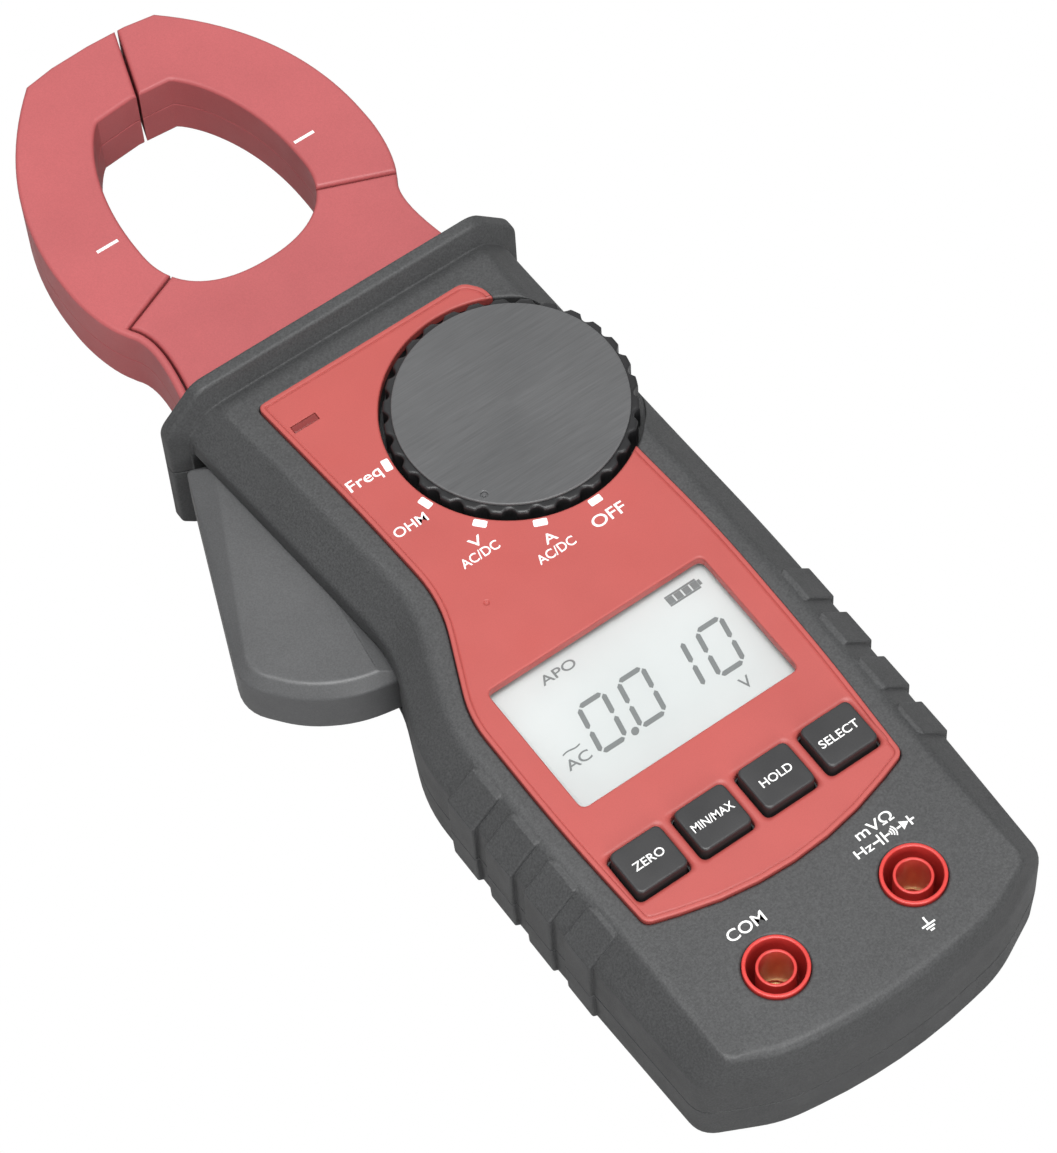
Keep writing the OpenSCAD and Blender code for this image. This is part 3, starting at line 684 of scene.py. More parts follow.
def case_cavity():
    lower = profiled("lower", plate(WALL_CORNERS), [(WALL, PART_Z - 1, 0), (WALL, 21.5, 0)])
    upper = profiled("upper", plate(FACE_CORNERS), [(WALL + 0.4, 20.5, 0), (WALL + 0.4, 25.4, 0)])
    cavity = fuse(lower, upper)
    cut(cavity, box("end", -FAR, FAR, 78.4, 100, 0, 40),
        drum("well", KNOB_X, KNOB_Y, WELL_R + WALL, WELL_Z - 3.9, 40))
    posts = [drum("post", x, y, 3.2, 0, 40, 40) for x, y in SCREW_SPOTS]
    return cut(cavity, joined("posts", posts))


def clamp_openings():
    """The window the neck comes through, and the slot of the trigger."""
    return (box("slot", -FAR, -24.6, 17.4, 77.8, 6.7, 19.3),
            box("window", -30.4, 30.8, 78, GUARD_Y + 1, CLAMP_Z0 - 0.3, CLAMP_Z1 + 0.3))


def build_front_case():
    wall, face = blend(WALL_CORNERS), blend(FACE_CORNERS)
    groove = blend(inset(WALL_CORNERS, GROOVE))
    rings = [ring(groove, PART_Z), ring(wall, PART_Z + GROOVE), ring(wall, BEVEL_Z),
             ring(face, FACE_Z), ring(shrunk(face, 3.2), FACE_Z)]
    case = loft("front_shell", soften(rings, [0, 0, 1.1, 1.5, 0], 5))
    cut(case, box("end", -FAR, FAR, GUARD_Y - 1, 100, 0, 40))
    front_guard = cut(guard(), box("below", -FAR, FAR, 70, 100, -20, PART_Z + 0.15))
    fuse(case, front_guard, grip_pads(FRONT_PAD))
    cut(case, case_cavity())
    cut(case, flared("panel_seat", plate(inset(PANEL_CORNERS, -0.15)), PANEL_Z - PANEL_T - 0.1,
                     FACE_Z, 0.35))
    cut(case, flared("well", disc(KNOB_X, KNOB_Y, WELL_R, 128), WELL_Z, FACE_Z, 0.5, 6))
    holes = [drum("hub", KNOB_X, KNOB_Y, HUB_R + 0.08, 15, 40),
             slab("lcd", screen_shape(4.4, 5, 1.5), 20, 40)]
    for node in KEY_NODES:
        holes.append(slab("key", key_shape(node, 0.4, 1.2), 20, 40))
    for node in SOCKET_NODES:
        holes.append(flared("socket", disc(*centre(node), 5.75), 15, FACE_Z, 0.45))
    for x, y in SCREW_SPOTS:
        holes.append(drum("pilot", x, y, 1.2, PART_Z - 1, 22, 24))
    holes.append(box("lamp", -19.5, -13.9, 64, 66, 20, 40))
    cut(case, joined("holes", holes))
    cut(case, *clamp_openings())
    piece(case, "case", "case_black", "front_case")


def build_rear_case():
    back = inset(WALL_CORNERS, 3.5)
    rings = soften([ring(blend(inset(back, 3)), 0), ring(blend(back), 0),
                    ring(blend(inset(WALL_CORNERS, 0.4)), 3.5),
                    ring(blend(WALL_CORNERS), PART_Z - 0.05 - GROOVE)], [0, 1.2, 1.4, 0], 5)
    rings.append(ring(blend(inset(WALL_CORNERS, GROOVE)), PART_Z - 0.05))
    case = loft("rear_shell", rings)
    cut(case, box("end", -FAR, FAR, GUARD_Y - 1, 100, -10, 40))
    rear_guard = cut(guard(), box("above", -FAR, FAR, 70, 100, PART_Z - 0.2, 50))
    fuse(case, rear_hump(), rear_guard, grip_pads(REAR_PAD))
    inside = profiled("inside", plate(WALL_CORNERS),
                      [(4.5, WALL, 0), (WALL + 0.4, 5, 0), (WALL, 20, 0)])
    cavity = cut(inside, box("end", -FAR, FAR, 78.4, 100, 0, 40))
    fuse(cavity, box("bay", -24, 28, 48, 78, HUMP_Z + WALL, 10))
    posts = [drum("post", x, y, 3.6, -9, PART_Z - 0.1, 40) for x, y in SCREW_SPOTS]
    posts += [drum("neck_post", x, y - 6, 2.4, -9, CLAMP_Z0 - 0.2, 40) for x, y in NECK_SPOTS]
    posts.append(box("battery_box", -17.8, 17.8, -60.6, -1.4, -9, 16.9))
    posts.append(box("tongue_pad", -7, 7, -1.3, 8.4, -9, 4))
    cut(cavity, joined("posts", posts))
    cut(case, cavity)
    cut(case, box("cells", -16.5, 16.5, -59.3, -2.7, -1, 20),
        slab("door_seat", oblong(39.2, 60.2, 1.6, 0, -31), -1, 1.9),
        slab("tongue", oblong(10.4, 9.6, 1.6, 0, 2.0), -1, 2.5),
        drum("door_hole", 0, 2.6, 1.12, -1, 9, 32))
    for x, y in SCREW_SPOTS:
        cut(case, drum("head", x, y, 2.6, -8, 7, 40), drum("shaft", x, y, 1.5, -8, 20, 32))
    cut(case, *clamp_openings())
    piece(case, "case", "case_black", "rear_case")


def rear_hump():
    """The raised back over the clamp mechanism, as a softened convex block."""
    corners = []
    for xs, ys, zs in (((-26, 31), (18, 80), (0.5, 1)),
                       ((-28, 29.5), (44, 80), (HUMP_Z, HUMP_Z + 0.5)),
                       ((-30.5, 32), (78, 80), (-0.5, 0.5))):
        corners += [(x, y, z) for x in xs for y in ys for z in zs]
    work = bmesh.new()
    for p in corners:
        work.verts.new(Vector(p) * MM)
    bmesh.ops.convex_hull(work, input=work.verts)
    inside = [v for v in work.verts if not v.link_faces]
    bmesh.ops.delete(work, geom=inside, context="VERTS")
    bmesh.ops.dissolve_limit(work, angle_limit=math.radians(1), verts=work.verts,
                             edges=work.edges)
    rims = [e for e in work.edges if e.calc_face_angle() > math.radians(8)]
    bmesh.ops.bevel(work, geom=rims, offset=0.9 * MM, offset_type="OFFSET", segments=3,
                    profile=0.5, affect="EDGES", clamp_overlap=True)
    mesh = bpy.data.meshes.new("hump")
    work.to_mesh(mesh)
    work.free()
    return linked("hump", mesh)


def build_battery_door():
    door = slab("battery_cover", oblong(38.8, 59.8, 1.4, 0, -31), 0, 1.7, 0.35, 0)
    fuse(door, slab("tongue", oblong(10, 9.4, 1.4, 0, 1.7), 0.02, 2.4, 0.3, 0))
    grooves = [slab("groove", oblong(14, 1.2, 0.5, 0, -53.4 + 2.4 * k), -1, 0.6)
               for k in range(5)]
    cut(door, joined("grooves", grooves))
    cut(door, drum("head", 0, 2.6, 2.5, -1, 1.3, 40), drum("shaft", 0, 2.6, 1.3, -1, 3, 32))
    piece(door, "case", "case_black", "battery_door")


# ---------------- face
def build_panel():
    """The red panel: a flat face inside a fine raised lip, with rolled edges at its openings."""
    base = PANEL_Z - PANEL_T
    lip = PANEL_Z + 0.22
    panel = profiled("panel", dense(blend(PANEL_CORNERS)),
                     [(0, base, 0), (0, lip, 0.28), (0.8, lip, 0.12), (0.95, PANEL_Z - 0.15, 0.05),
                      (1.15, PANEL_Z, 0.05), (1.6, PANEL_Z, 0)])
    openings = [flared("knob", disc(KNOB_X, KNOB_Y, WELL_R - 0.2, 128), 20, PANEL_Z, 0.4, 6),
                flared("screen", screen_shape(0, 0, 1.5), 20, PANEL_Z, 0.3),
                box("lamp", -19.3, -14.1, 64.2, 65.8, 20, 40)]
    cut(panel, *openings)
    for node in KEY_NODES:
        cut(panel, flared("key", key_shape(node, 0.9, 1.4), 20, PANEL_Z, 0.9))
    cut(panel, loft("dot", [ring(circle(-12.3, 16.4, r, 24), z)
                            for r, z in ((0.3, 29.2), (0.7, 29.6))]))
    piece(panel, "case", "panel_red", "face_panel")
    lens = slab("status_lens", oblong(5.1, 1.5, 0.3, -16.7, 65), base, PANEL_Z - 0.1,
                0, 0.2)
    piece(lens, "case", "lens_red", "indicator_lens")


def build_display():
    for name, node, slot, more_w, more_h, run, edge in (
            ("display_window", "lcd_window", "window_clear", 3.6, 3.2, 1.5, 0.15),
            ("display_panel", "lcd_glass", "display_glass", 2.2, 2.6, 0.6, 0.1)):
        sheet = slab(name, screen_shape(more_w, more_h, run), low(node, "z"), high(node, "z"),
                     edge, edge)
        piece(sheet, "case", slot, node)


DIGIT_W, DIGIT_H, DIGIT_STROKE, DIGIT_SLANT = 5.0, 9.3, 0.95, 0.19
SEGMENTS = {  # centre of each bar as a share of width and height, and whether it lies flat
    "a": (0.5, 1.0, True), "b": (1.0, 0.75, False), "c": (1.0, 0.25, False),
    "d": (0.5, 0.0, True), "e": (0.0, 0.25, False), "f": (0.0, 0.75, False),
    "g": (0.5, 0.5, True)}
DIGITS = {"0": "abcdef", "1": "bc"}
READING_X, READING_Y, DIGIT_PITCH = -12.4, -16.9, 8.2
POINT_X, POINT_R = -5.55, 0.75
BATTERY_X, BATTERY_H = (13.6, 20.0), 2.2


def bar(points, z, thick=0.04):
    return loft("bar", [ring(points, z + h) for h in (0.0, thick)])


def segment(x, y, length, flat):
    """A hexagonal bar of a seven-segment digit."""
    half, w = length / 2, DIGIT_STROKE / 2
    points = [(-half, 0), (-half + w, -w), (half - w, -w), (half, 0), (half - w, w), (-half + w, w)]
    return [(x + (p[0] if flat else p[1]), y + (p[1] if flat else p[0])) for p in points]


def build_reading():
    """The digits and signs that show on the display."""
    z = high("lcd_glass", "z")
    bars = []
    for k, digit in enumerate("0010"):
        left = READING_X + DIGIT_PITCH * k
        for name in DIGITS[digit]:
            u, v, flat = SEGMENTS[name]
            length = (DIGIT_W if flat else DIGIT_H / 2) - 0.5
            bars.append([(left + px, py) for px, py in
                         segment(u * DIGIT_W, v * DIGIT_H, length, flat)])
    bars.append([(POINT_X + POINT_R * p.x, POINT_R * p.y) for p in circle(0, 0, 1, 20)])
    made = [bar([(px + DIGIT_SLANT * py, READING_Y + py) for px, py in points], z, 0.05)
            for points in bars]
    x0, x1 = BATTERY_X
    half = BATTERY_H / 2
    patches = [(x0, -half, x1, 0.35 - half), (x0, half - 0.35, x1, half),
               (x1 + 0.05, -0.55, x1 + 0.6, 0.55)]
    patches += [(x0 + 1.68 * k, 0.4 - half, x0 + 1.68 * k + 1.36, half - 0.4) for k in range(4)]
    made += [bar([(u0, v0), (u1, v0), (u1, v1), (u0, v1)], z, 0.05) for u0, v0, u1, v1 in patches]
    dress(smooth(joined("reading", made)), "case", "display_glass", shine="ink_grey")


def build_keys():
    for node in KEY_NODES:
        z0 = low(node, "z")
        name = node.replace("button", "key")
        key = profiled(name, key_shape(node, 0, 1.3), [(0.15, z0, 0), (0, z0 + 0.4, 0),
                                                       (0, KEY_TOP, 0.5), (2.0, KEY_TOP, 0)], 5)
        fuse(key, slab("flange", key_shape(node, 1.8, 1.4), 22.8, 24.6))
        piece(key, name, "key_black", node)


# ---------------- range switch
SCALLOPS, PER_SCALLOP = 30, 10
NOTCH_R, NOTCH_OUT = 1.2, 0.25


def wheel_outline(d):
    """The wheel's outline, with a row of round finger scallops, moved inwards by d."""
    points = []
    for i in range(SCALLOPS):
        for k in range(PER_SCALLOP):
            share = k / PER_SCALLOP - 0.5
            a = (i + 0.5 + share) * math.tau / SCALLOPS
            off = share * math.tau / SCALLOPS * KNOB_R
            depth = 0.0
            if abs(off) < NOTCH_R:
                depth = max(0.0, math.sqrt(NOTCH_R ** 2 - off ** 2) - NOTCH_OUT)
            r = KNOB_R - depth - d
            points.append((KNOB_X + r * math.cos(a), KNOB_Y + r * math.sin(a)))
    return points


def build_switch():
    z0, z1 = 24.0, high("rotary_knob", "z")
    wheel = profiled("switch_wheel", wheel_outline,
                     [(0.8, z0, 0), (0, z0, 0.3), (0, z1, 0.6), (1.4, z1, 0)])
    fuse(wheel, drum("hub", KNOB_X, KNOB_Y, HUB_R, low("rotary_knob", "z"), z0 + 0.7))
    hollow = cut(drum("hollow", KNOB_X, KNOB_Y, KNOB_R - 3, z0 - 1, 28),
                 drum("core", KNOB_X, KNOB_Y, HUB_R + 1.5, z0 - 2, 30))
    cut(wheel, hollow, drum("bore", KNOB_X, KNOB_Y, 1.2, 21, 27, 32))
    piece(wheel, "range_switch", "knob_black", "rotary_knob")

    zc0, zc1 = low("knob_cap", "z"), high("knob_cap", "z")
    cap = slab("switch_cap", disc(KNOB_X, KNOB_Y, CAP_R, 160), zc0, zc1, 0.1, 0.22)
    a = math.radians(270 - 2 * SWITCH_STEP)
    mark_x, mark_y = KNOB_X + 19.4 * math.cos(a), KNOB_Y + 19.4 * math.sin(a)
    pip = drum("pip", mark_x, mark_y, 0.3, zc0 - 2, zc1 - 0.1, 24)
    cut(cap, cut(flared("dimple", disc(mark_x, mark_y, 0.7, 32), zc0 + 0.12, zc1, 0.15), pip))
    piece(cap, "range_switch", "cap_grey", "knob_cap")


# ---------------- sockets
def build_sockets():
    z0, z1 = low("socket_com", "z"), high("socket_com", "z")
    for node in SOCKET_NODES:
        x, y = centre(node)
        section = [(0, z0, 0), (5.65, z0, 0), (5.65, z1, 0.25), (4.95, z1, 0.3), (4.95, 8, 0),
                   (3.4, 8, 0), (3.4, z1 - 0.7, 0.2), (2.85, z1 - 0.7, 0.2), (2.85, 5, 0),
                   (0, 5, 0)]
        shroud = lathe(node.replace("socket", "input"), section, x, y)
        piece(shroud, "case", "socket_red", node)
    sleeve = [(0, 5.05, 0), (2.8, 5.05, 0), (2.8, 18, 0.2), (2.05, 18, 0.2), (2.05, 6.5, 0),
              (0, 6.5, 0)]
    sleeves = [lathe("sleeve", sleeve, *centre(node)) for node in SOCKET_NODES]
    piece(joined("plug_sleeves", sleeves), "case", "contact_brass", "socket_contacts")


# ---------------- clamp
OUTER_HALF = ([Vector((0, 163.9)), Vector((8, 163.6))]
              + bezier((14.1, 162.6), (27.6, 149.8), (32.7, 135), (32.7, 121))
              + bezier((32.7, 119), (32.7, 114.5), (31.6, 108.4), (29.6, 105), 10)
              + bezier((29.2, 104.2), (26.8, 101), (27.2, 95), (29.8, 84), 12)
              + [Vector((29.8, 66))])
INNER_HALF = ([Vector((0, 148.6)), Vector((7.9, 147.9))]
              + bezier((8.6, 147.3), (12.8, 143), (17.4, 133), (17.4, 120))
              + bezier((17.4, 118), (17.4, 107.1), (8.6, 103.6), (0.6, 103.6)))
SLIT, SLIT_WAY = Vector((1.3, 148.4)), Vector((0.311, 0.95)).normalized()
SEAM_ROOT, SEAM_WAY = Vector((5, 115.6)), Vector((55, -22.9)).normalized()
TIP_GAP = 0.5
LEAD_SLOT = (25.2, 29.5, 103, 110)      # where the sensor's lead leaves the fixed jaw
NECK_WALLS = [(-12.4, 98), (20, 98), (20, 80), (60, 80), (60, 130), (-12.4, 130)]


def across(p, point, way):
    """How far p lies to the right of the line through point along way."""
    d = Vector(p) - point
    return d.x * way.y - d.y * way.x


def part_of(chain, *lines):
    """The stretch of a chain on the right of every line, with its ends cut at the lines."""
    out = []
    for a, b in zip(chain, chain[1:]):
        start, end = 0.0, 1.0
        for point, way in lines:
            da, db = across(a, point, way), across(b, point, way)
            if da < 0 and db < 0:
                end = -1.0
            elif da < 0:
                start = max(start, da / (da - db))
            elif db < 0:
                end = min(end, da / (da - db))
        if start < end:
            out += [p for p in (a.lerp(b, start), a.lerp(b, end))
                    if not out or (p - out[-1]).length > 1e-3]
    return out


def offset_line(point, way, d):
    """The line moved to its right by d."""
    return point + Vector((way.y, -way.x)) * d, way


def moved_in(chain, d):
    """A chain moved to the right of its own direction by d."""
    out = []
    for i in range(1, len(chain) - 1):
        t = (chain[i + 1] - chain[i - 1]).normalized()
        out.append(chain[i] + Vector((t.y, -t.x)) * d)
    return out


def clamp_outlines():
    """Anticlockwise outlines of the moving jaw, the fixed jaw and the neck."""
    outer = mirrored(OUTER_HALF) + OUTER_HALF[1:]      # from lower left over the tip to the right
    inner = mirrored(INNER_HALF) + INNER_HALF[1:]
    left_way = Vector((-SEAM_WAY.x, SEAM_WAY.y))
    left_root = Vector((-SEAM_ROOT.x, SEAM_ROOT.y))
    left_seam = (left_root, left_way)                  # runs outwards; the jaw is on its right
    right_seam = (SEAM_ROOT, -SEAM_WAY)                # runs inwards; the jaw is on its right
    slit_left = offset_line(SLIT, -SLIT_WAY, TIP_GAP / 2)
    slit_right = offset_line(SLIT, SLIT_WAY, TIP_GAP / 2)
    skirt_end = (Vector((0, GUARD_Y + 0.8)), Vector((-1, 0)))
    edge = moved_in(outer, SKIRT_T)

    skirt = [p for p in part_of(edge, (left_root, -left_way), skirt_end) if p.x < 0]
    moving = [*part_of(outer, slit_left, skirt_end),
              *reversed(part_of(inner, slit_left, left_seam)), *reversed(skirt)]
    fixed = [*part_of(outer, slit_right, right_seam),
             *reversed(part_of(inner, slit_right, right_seam))]

    low_left = offset_line(left_root, -left_way, 0.4)
    low_right = offset_line(SEAM_ROOT, SEAM_WAY, 0.3)
    neck_edge = moved_in(outer, SKIRT_T + 0.4)
    foot = (Vector((0, 78.6)), Vector((-1, 0)))
    left = [p for p in part_of(neck_edge, low_left, foot) if p.x < 0]
    right = [p for p in part_of(outer, low_right, foot) if p.x > 0]
    bowl = part_of(inner, low_left, low_right)
    tail = [Vector(p) for p in ((24.6, 78.6), (24.6, 68), (3, 68), (3, 78.6))]
    neck = [*left, *reversed([p for p in bowl if p.x < 0]),
            *reversed([p for p in bowl if p.x >= 0]), *right, *tail]
    return [list(reversed(o)) for o in (moving, fixed, neck)]


def tidy_outline(points, least=0.12):
    """Drops points closer together than least, so that edges can be moved inwards cleanly."""
    out = []
    for p in points:
        if not out or (p - out[-1]).length > least:
            out.append(p)
    if (out[0] - out[-1]).length < least:
        out.pop()
    return out


def rounded_plate(name, outline, z_in, z_out, seam=0.0):
    """A plate on a dense outline whose edge at z_out is rounded, with a fine seam at z_in."""
    up = 1 if z_out > z_in else -1
    section = [(seam, z_in, 0)] if seam else []
    section.append((0, z_in + seam * up, 0))
    for k in range(6):
        a = math.pi / 2 * k / 5
        section.append((CLAMP_EDGE * (1 - math.cos(a)),
                        z_out - up * CLAMP_EDGE * (1 - math.sin(a)), 0))
    return profiled(name, dense(outline), section)


def shell_half(name, outline, z_open, z_closed):
    """Half of a hollow jaw: a rounded closed face at z_closed, open at the parting height."""
    up = 1 if z_closed > z_open else -1
    half = rounded_plate(name, outline, z_open, z_closed, SEAM)
    inner = shrunk(outline, SHELL_T)
    return cut(half, loft("hollow", [ring(inner, z_open - up),
                                     ring(inner, z_closed - FACE_T * up)]))


def build_jaws():
    moving, fixed, neck = [tidy_outline(o) for o in clamp_outlines()]
    for name, outline, body in (("moving_jaw", moving, "clamp_lever"),
                                ("fixed_jaw", fixed, "case")):
        front = shell_half(name + "_cover", outline, CLAMP_MID, CLAMP_Z1)
        rear = shell_half(name + "_base", outline, CLAMP_MID - REAR_GAP, CLAMP_Z0)
        if body == "case":
            for half in (front, rear):
                cut(half, box("slot", *LEAD_SLOT, CLAMP_MID - 1, CLAMP_MID + 1))
        piece(front, body, "jaw_red", name + "_front")
        piece(rear, body, "jaw_red", name + "_rear")
    build_neck(neck)


def build_neck(outline):
    """The two halves of the neck, with a wall round the right and the bowl, posts and a hole for the pin."""
    rim, inner = shrunk(outline, 0.02), shrunk(outline, SHELL_T)
    for name, node, up, z_out, wall_at, pin_z, hole, bores in (
            ("neck_cover", "neck_front", 1, CLAMP_Z1, CLAMP_MID, (10, CLAMP_Z1 - 0.88),
             1.2, (10, 18.6)),
            ("neck_base", "neck_rear", -1, CLAMP_Z0, CLAMP_MID - REAR_GAP,
             (CLAMP_Z0 + 0.88, 20), 1.5, (0, 20))):
        half = rounded_plate(name, outline, z_out - NECK_T * up, z_out)
        wall = loft("wall", [ring(rim, wall_at), ring(rim, z_out - up)])
        cut(wall, loft("hollow", [ring(inner, wall_at - up), ring(inner, z_out)]))
        common(wall, loft("kept", [ring(NECK_WALLS, z) for z in (0, 40)]))
        ends = sorted((wall_at, z_out - up))
        fuse(half, wall, joined("posts", [drum("post", x, y, 3.2, *ends, 40)
                                          for x, y in NECK_SPOTS]))
        cut(half, drum("pin", PIVOT_X, PIVOT_Y, PIVOT_R + 0.03, *pin_z, 48),
            joined("bores", [drum("bore", x, y, hole, *bores, 24) for x, y in NECK_SPOTS]))
        piece(half, "case", "jaw_red", node)


def build_trigger():
    """The side trigger with its arm, eye and pin hole."""
    z0, z1 = low("trigger_lever", "z"), high("trigger_lever", "z")
    trigger = profiled("trigger", dense(blend(TRIGGER_CORNERS)),
                       [(1.8, z0, 0), (0.8, z0, 0.3), (0, z0 + 0.8, 0.3), (0, z1 - 2, 0.5),
                        (2.2, z1, 0.5), (3.4, z1, 0)])
    a0, a1 = CLAMP_Z0 + 2.8, CLAMP_Z1 - 2.8
    eye_r = 6.0
    outer_left = moved_in(mirrored(OUTER_HALF), SKIRT_T + 0.3)
    arm_edge = [p for p in outer_left if 84 < p.y < 113.9]
    arm = [Vector((-16.2, 83)), Vector((-13.5, 103.6)), Vector((-18.6, 109)), Vector((-20.5, 114)),
           Vector((arm_edge[-1].x, 114)), *reversed(arm_edge), Vector((-27.9, 83))]
    reach = [(-27.9, 82), (-29.6, 77.2), (-32, 75), (-31, 52), (-24.6, 52), (-19.5, 74), (-16, 82),
             (-16.2, 84), (-26, 84)]
    arm_piece = loft("arm", [ring(arm, z) for z in (a0, a1)])
    fuse(arm_piece, loft("reach", [ring(reach, z) for z in (a0 + 0.01, a1 - 0.01)]),
         drum("eye", PIVOT_X, PIVOT_Y, eye_r, a0, a1, 64))
    fuse(trigger, arm_piece)
    cut(trigger, drum("pin", PIVOT_X, PIVOT_Y, PIVOT_R + 0.06, 0, 40, 48),
        drum("spring", PIVOT_X, PIVOT_Y, eye_r - 1.2, 0, a0 + 3, 64))
    piece(trigger, "clamp_lever", "trigger_black", "trigger_lever")


# ---------------- legends
CAPITAL = 0.72      # height of a capital letter in a font of size 1
PANEL_WORDS = [("OFF", 14.5, 18.2, 2.4, 6.6), ("A", 3.8, 20.5, 2.0, 2.5),
               ("AC/DC", 3.2, 17.8, 1.9, 7.6), ("V", -6.8, 27.4, 2.0, 2.5),
               ("AC/DC", -7.7, 24.9, 1.9, 7.6), ("OHM", -13.9, 36.8, 2.0, 6.6),
               ("Freq", -15.0, 49.0, 2.3, 6.6)]
DISPLAY_WORDS = [("APO", -9.3, 0.1, 1.9, 7.0), ("AC", -16.4, -15.7, 2.0, 4.8),
                 ("~", -16.2, -13.4, 1.9, 3.6), ("V", 14.9, -20.4, 2.3)]
MARK_R = 24.4       # radius of the row of position marks round the switch
LINE = 0.35         # width of the printed lines


def word(text, x, y, z, height, width=None):
    """One word as a thin raised print, centred on x, y, with the given capital height."""
    curve_data = bpy.data.curves.new("word", "FONT")
    curve_data.body = text
    curve_data.align_x = "CENTER"
    curve_data.align_y = "CENTER"
    curve_data.size = 1.0
    curve_data.extrude = 0.01
    curve_data.offset = 0.009
    temp = linked("word", curve_data)
    mesh = bpy.data.meshes.new_from_object(
        temp.evaluated_get(bpy.context.evaluated_depsgraph_get()))
    bpy.data.objects.remove(temp)
    bpy.data.curves.remove(curve_data)
    xs = [v.co.x for v in mesh.vertices]
    ys = [v.co.y for v in mesh.vertices]
    sy = height / CAPITAL
    sx = width / (max(xs) - min(xs)) if width else sy
    mx, my = (max(xs) + min(xs)) / 2, (max(ys) + min(ys)) / 2
    mesh.transform(Matrix.Translation(Vector((x, y, z + 0.02)) * MM)
                   @ Matrix.Diagonal((sx * MM, sy * MM, 2 * MM, 1))
                   @ Matrix.Translation((-mx, -my, 0)))
    work = bmesh.new()
    work.from_mesh(mesh)
    bmesh.ops.remove_doubles(work, verts=work.verts, dist=1e-6)
    work.to_mesh(mesh)
    work.free()
    return linked("word", mesh)


def strip(x0, y0, x1, y1, w, z):
    """A printed straight line of width w."""
    a, b = Vector((x0, y0)), Vector((x1, y1))
    side = (b - a).normalized().orthogonal() * (w / 2)
    return bar([a - side, b - side, b + side, a + side], z)


def words(z, rows):
    return [word(text, x, y, z, *size) for text, x, y, *size in rows]


def strips(x, y, z, rows):
    """Printed lines given as x0, y0, x1, y1 from the place x, y, each with its width."""
    return [strip(x + x0, y + y0, x + x1, y + y1, w, z) for x0, y0, x1, y1, w in rows]


def legend(name, body, slot, objects, shine="ink_white"):
    dress(joined(name, objects), body, slot, shine=shine)


def position_mark(angle):
    """A rounded mark that lies along the circle round the switch."""
    out_way = Vector((math.cos(angle), math.sin(angle)))
    side = Vector((-out_way.y, out_way.x))
    c = Vector((KNOB_X, KNOB_Y)) + MARK_R * out_way
    corners = [(*(c + out_way * u + side * v), 0.3)
               for u, v in ((-0.72, -1.25), (0.72, -1.25), (0.72, 1.25), (-0.72, 1.25))]
    return bar(blend(corners, 3), PANEL_Z)


def arc(x, y, r, turns):
    return [Vector((x + r * math.cos(t), y + r * math.sin(t))) for t in turns]


def build_legends():
    marks = [position_mark(math.radians(271 - SWITCH_STEP * k)) for k in range(5)]
    legend("panel_print", "case", "panel_red", marks + words(PANEL_Z, PANEL_WORDS))
    build_socket_print()

    for node, text, width in zip(KEY_NODES, ("ZERO", "MIN/MAX", "HOLD", "SELECT"),
                                 (6.0, 8.2, 6.2, 7.8)):
        legend(node.replace("button", "print"), node.replace("button", "key"), "key_black",
               [word(text, *centre(node), KEY_TOP, 1.6, width)])

    for name, body, (x0, x1), y in (("left_bar", "clamp_lever", (-23.8, -19.3), 123),
                                    ("right_bar", "case", (18.4, 22.7), 121.8)):
        legend(name, body, "jaw_red", [strip(x0, y, x1, y, 0.65, CLAMP_Z1)])
    legend("display_signs", "case", "display_glass",
           words(high("lcd_glass", "z"), DISPLAY_WORDS), "ink_grey")


def build_socket_print():
    """The words beside the sockets, and the capacitor, sound, diode and earth signs."""
    z = FACE_Z
    x_com, y_com = centre("socket_com")
    x, y_volt = centre("socket_volt")
    row = y_volt + 8.3
    prints = words(z, [("COM", x_com + 0.4, y_com + 8.7, 2.2, 7.3),
                       ("mVΩ", x + 0.3, y_volt + 11.1, 2.0, 7.3), ("Hz", x - 3.8, row, 1.7, 3.4)])
    prints += strips(x, row, z, [(-1.9, 0, -0.6, 0, LINE), (-0.45, -1.1, -0.45, 1.1, LINE),
                                 (0.35, -1.1, 0.35, 1.1, LINE), (0.5, 0, 1.5, 0, LINE)])
    turns = [-0.72 + 0.18 * i for i in range(9)]
    for k in range(3):
        r = 0.75 + 0.45 * k
        prints.append(bar(arc(x + 1.2, row, r, turns)
                          + arc(x + 1.2, row, r - 0.25, reversed(turns)), z))
    xd = x + 4.8
    prints.append(bar([(xd - 0.9, row - 0.9), (xd + 0.6, row), (xd - 0.9, row + 0.9)], z))
    prints += strips(xd, row, z, [(0.8, -0.95, 0.8, 0.95, LINE), (-1.8, 0, -1.0, 0, LINE),
                                  (1.0, 0, 1.7, 0, LINE)])
    prints += strips(10.4, -75.5, z, [(0, 0, 0, 1.4, LINE), (-1.3, -0.15, 1.3, -0.15, 0.32),
                                      (-0.85, -0.7, 0.85, -0.7, 0.32),
                                      (-0.4, -1.25, 0.4, -1.25, 0.32)])
    legend("socket_print", "case", "case_black", prints)


# ---------------- carried-over parts
def dress_carried():
    slots = {row["node"]: row["material_slot"] for row in frame["record"]["subparts"]}
    for name, obj in frame["nodes"].items():
        if not obj.hide_render:
            paint(obj, slots[name])


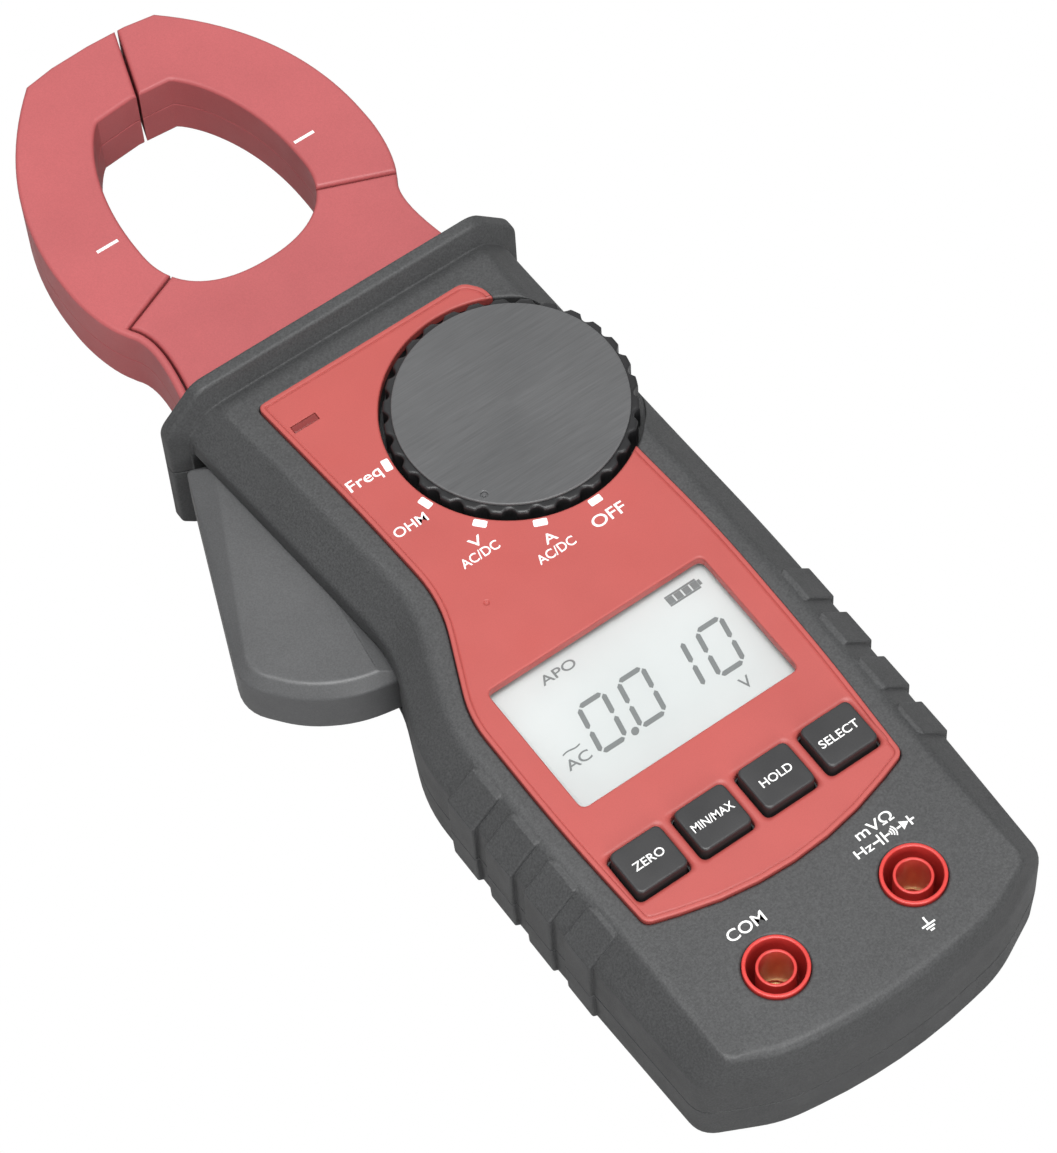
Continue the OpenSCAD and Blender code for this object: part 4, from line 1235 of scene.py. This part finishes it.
# ---------------- stage
CAMERA_AT = (-0.21139, -0.32017, 0.68675)
CAMERA_TURN = (30.9645, 2.2523, -35.4402)       # degrees about x, y and z
FOCAL_LENGTH = 141.05


def build_stage():
    floor_z = cad_box[0][2] / MM - 0.2
    floor = box("floor", -2500, 2500, -2500, 2500, floor_z - 5, floor_z)
    s = Shader("floor_white")
    paper = s.finish(Base_Color=s.tint((0.36, 0.36, 0.36), s.spread(s.noise(60, 3.0), 0.97, 1.02)),
                     Roughness=0.9)
    glow = s.node("Emission", {"Color": rgba(1, 1, 1), "Strength": 1.0}).outputs["Emission"]
    seen = s.node("LightPath").outputs["Is Camera Ray"]
    s.mix(seen, s.shader.outputs["BSDF"], glow)
    floor.data.materials.append(paper)

    scene = bpy.context.scene
    world = bpy.data.worlds.new("studio")
    world.use_nodes = True
    world.node_tree.nodes["Background"].inputs["Color"].default_value = rgba(1, 1, 1)
    world.node_tree.nodes["Background"].inputs["Strength"].default_value = 0.36
    scene.world = world
    scene.view_settings.view_transform = "Standard"

    def light(name, at, size, power):
        data = bpy.data.lights.new(name, "AREA")
        data.energy = power
        data.size = size
        lamp = bpy.data.objects.new(name, data)
        lamp.location = at
        aim = Vector((0, 0.03, 0)) - Vector(at)
        lamp.rotation_euler = aim.to_track_quat("-Z", "Y").to_euler()
        scene.collection.objects.link(lamp)
    light("key", (-0.15, -0.2, 1.25), 0.8, 20)
    light("front", (-0.2, -1.1, 0.35), 0.5, 4.5)
    light("rim", (0.4, 0.9, 0.6), 0.6, 1.0)

    lens = bpy.data.cameras.new("camera")
    lens.lens = FOCAL_LENGTH
    lens.sensor_width = 36
    camera = bpy.data.objects.new("camera", lens)
    camera.location = CAMERA_AT
    camera.rotation_euler = [math.radians(a) for a in CAMERA_TURN]
    scene.collection.objects.link(camera)
    scene.camera = camera


build_front_case()
build_rear_case()
build_battery_door()
build_panel()
build_display()
build_reading()
build_keys()
build_switch()
build_sockets()
build_jaws()
build_trigger()
build_legends()
dress_carried()
build_stage()
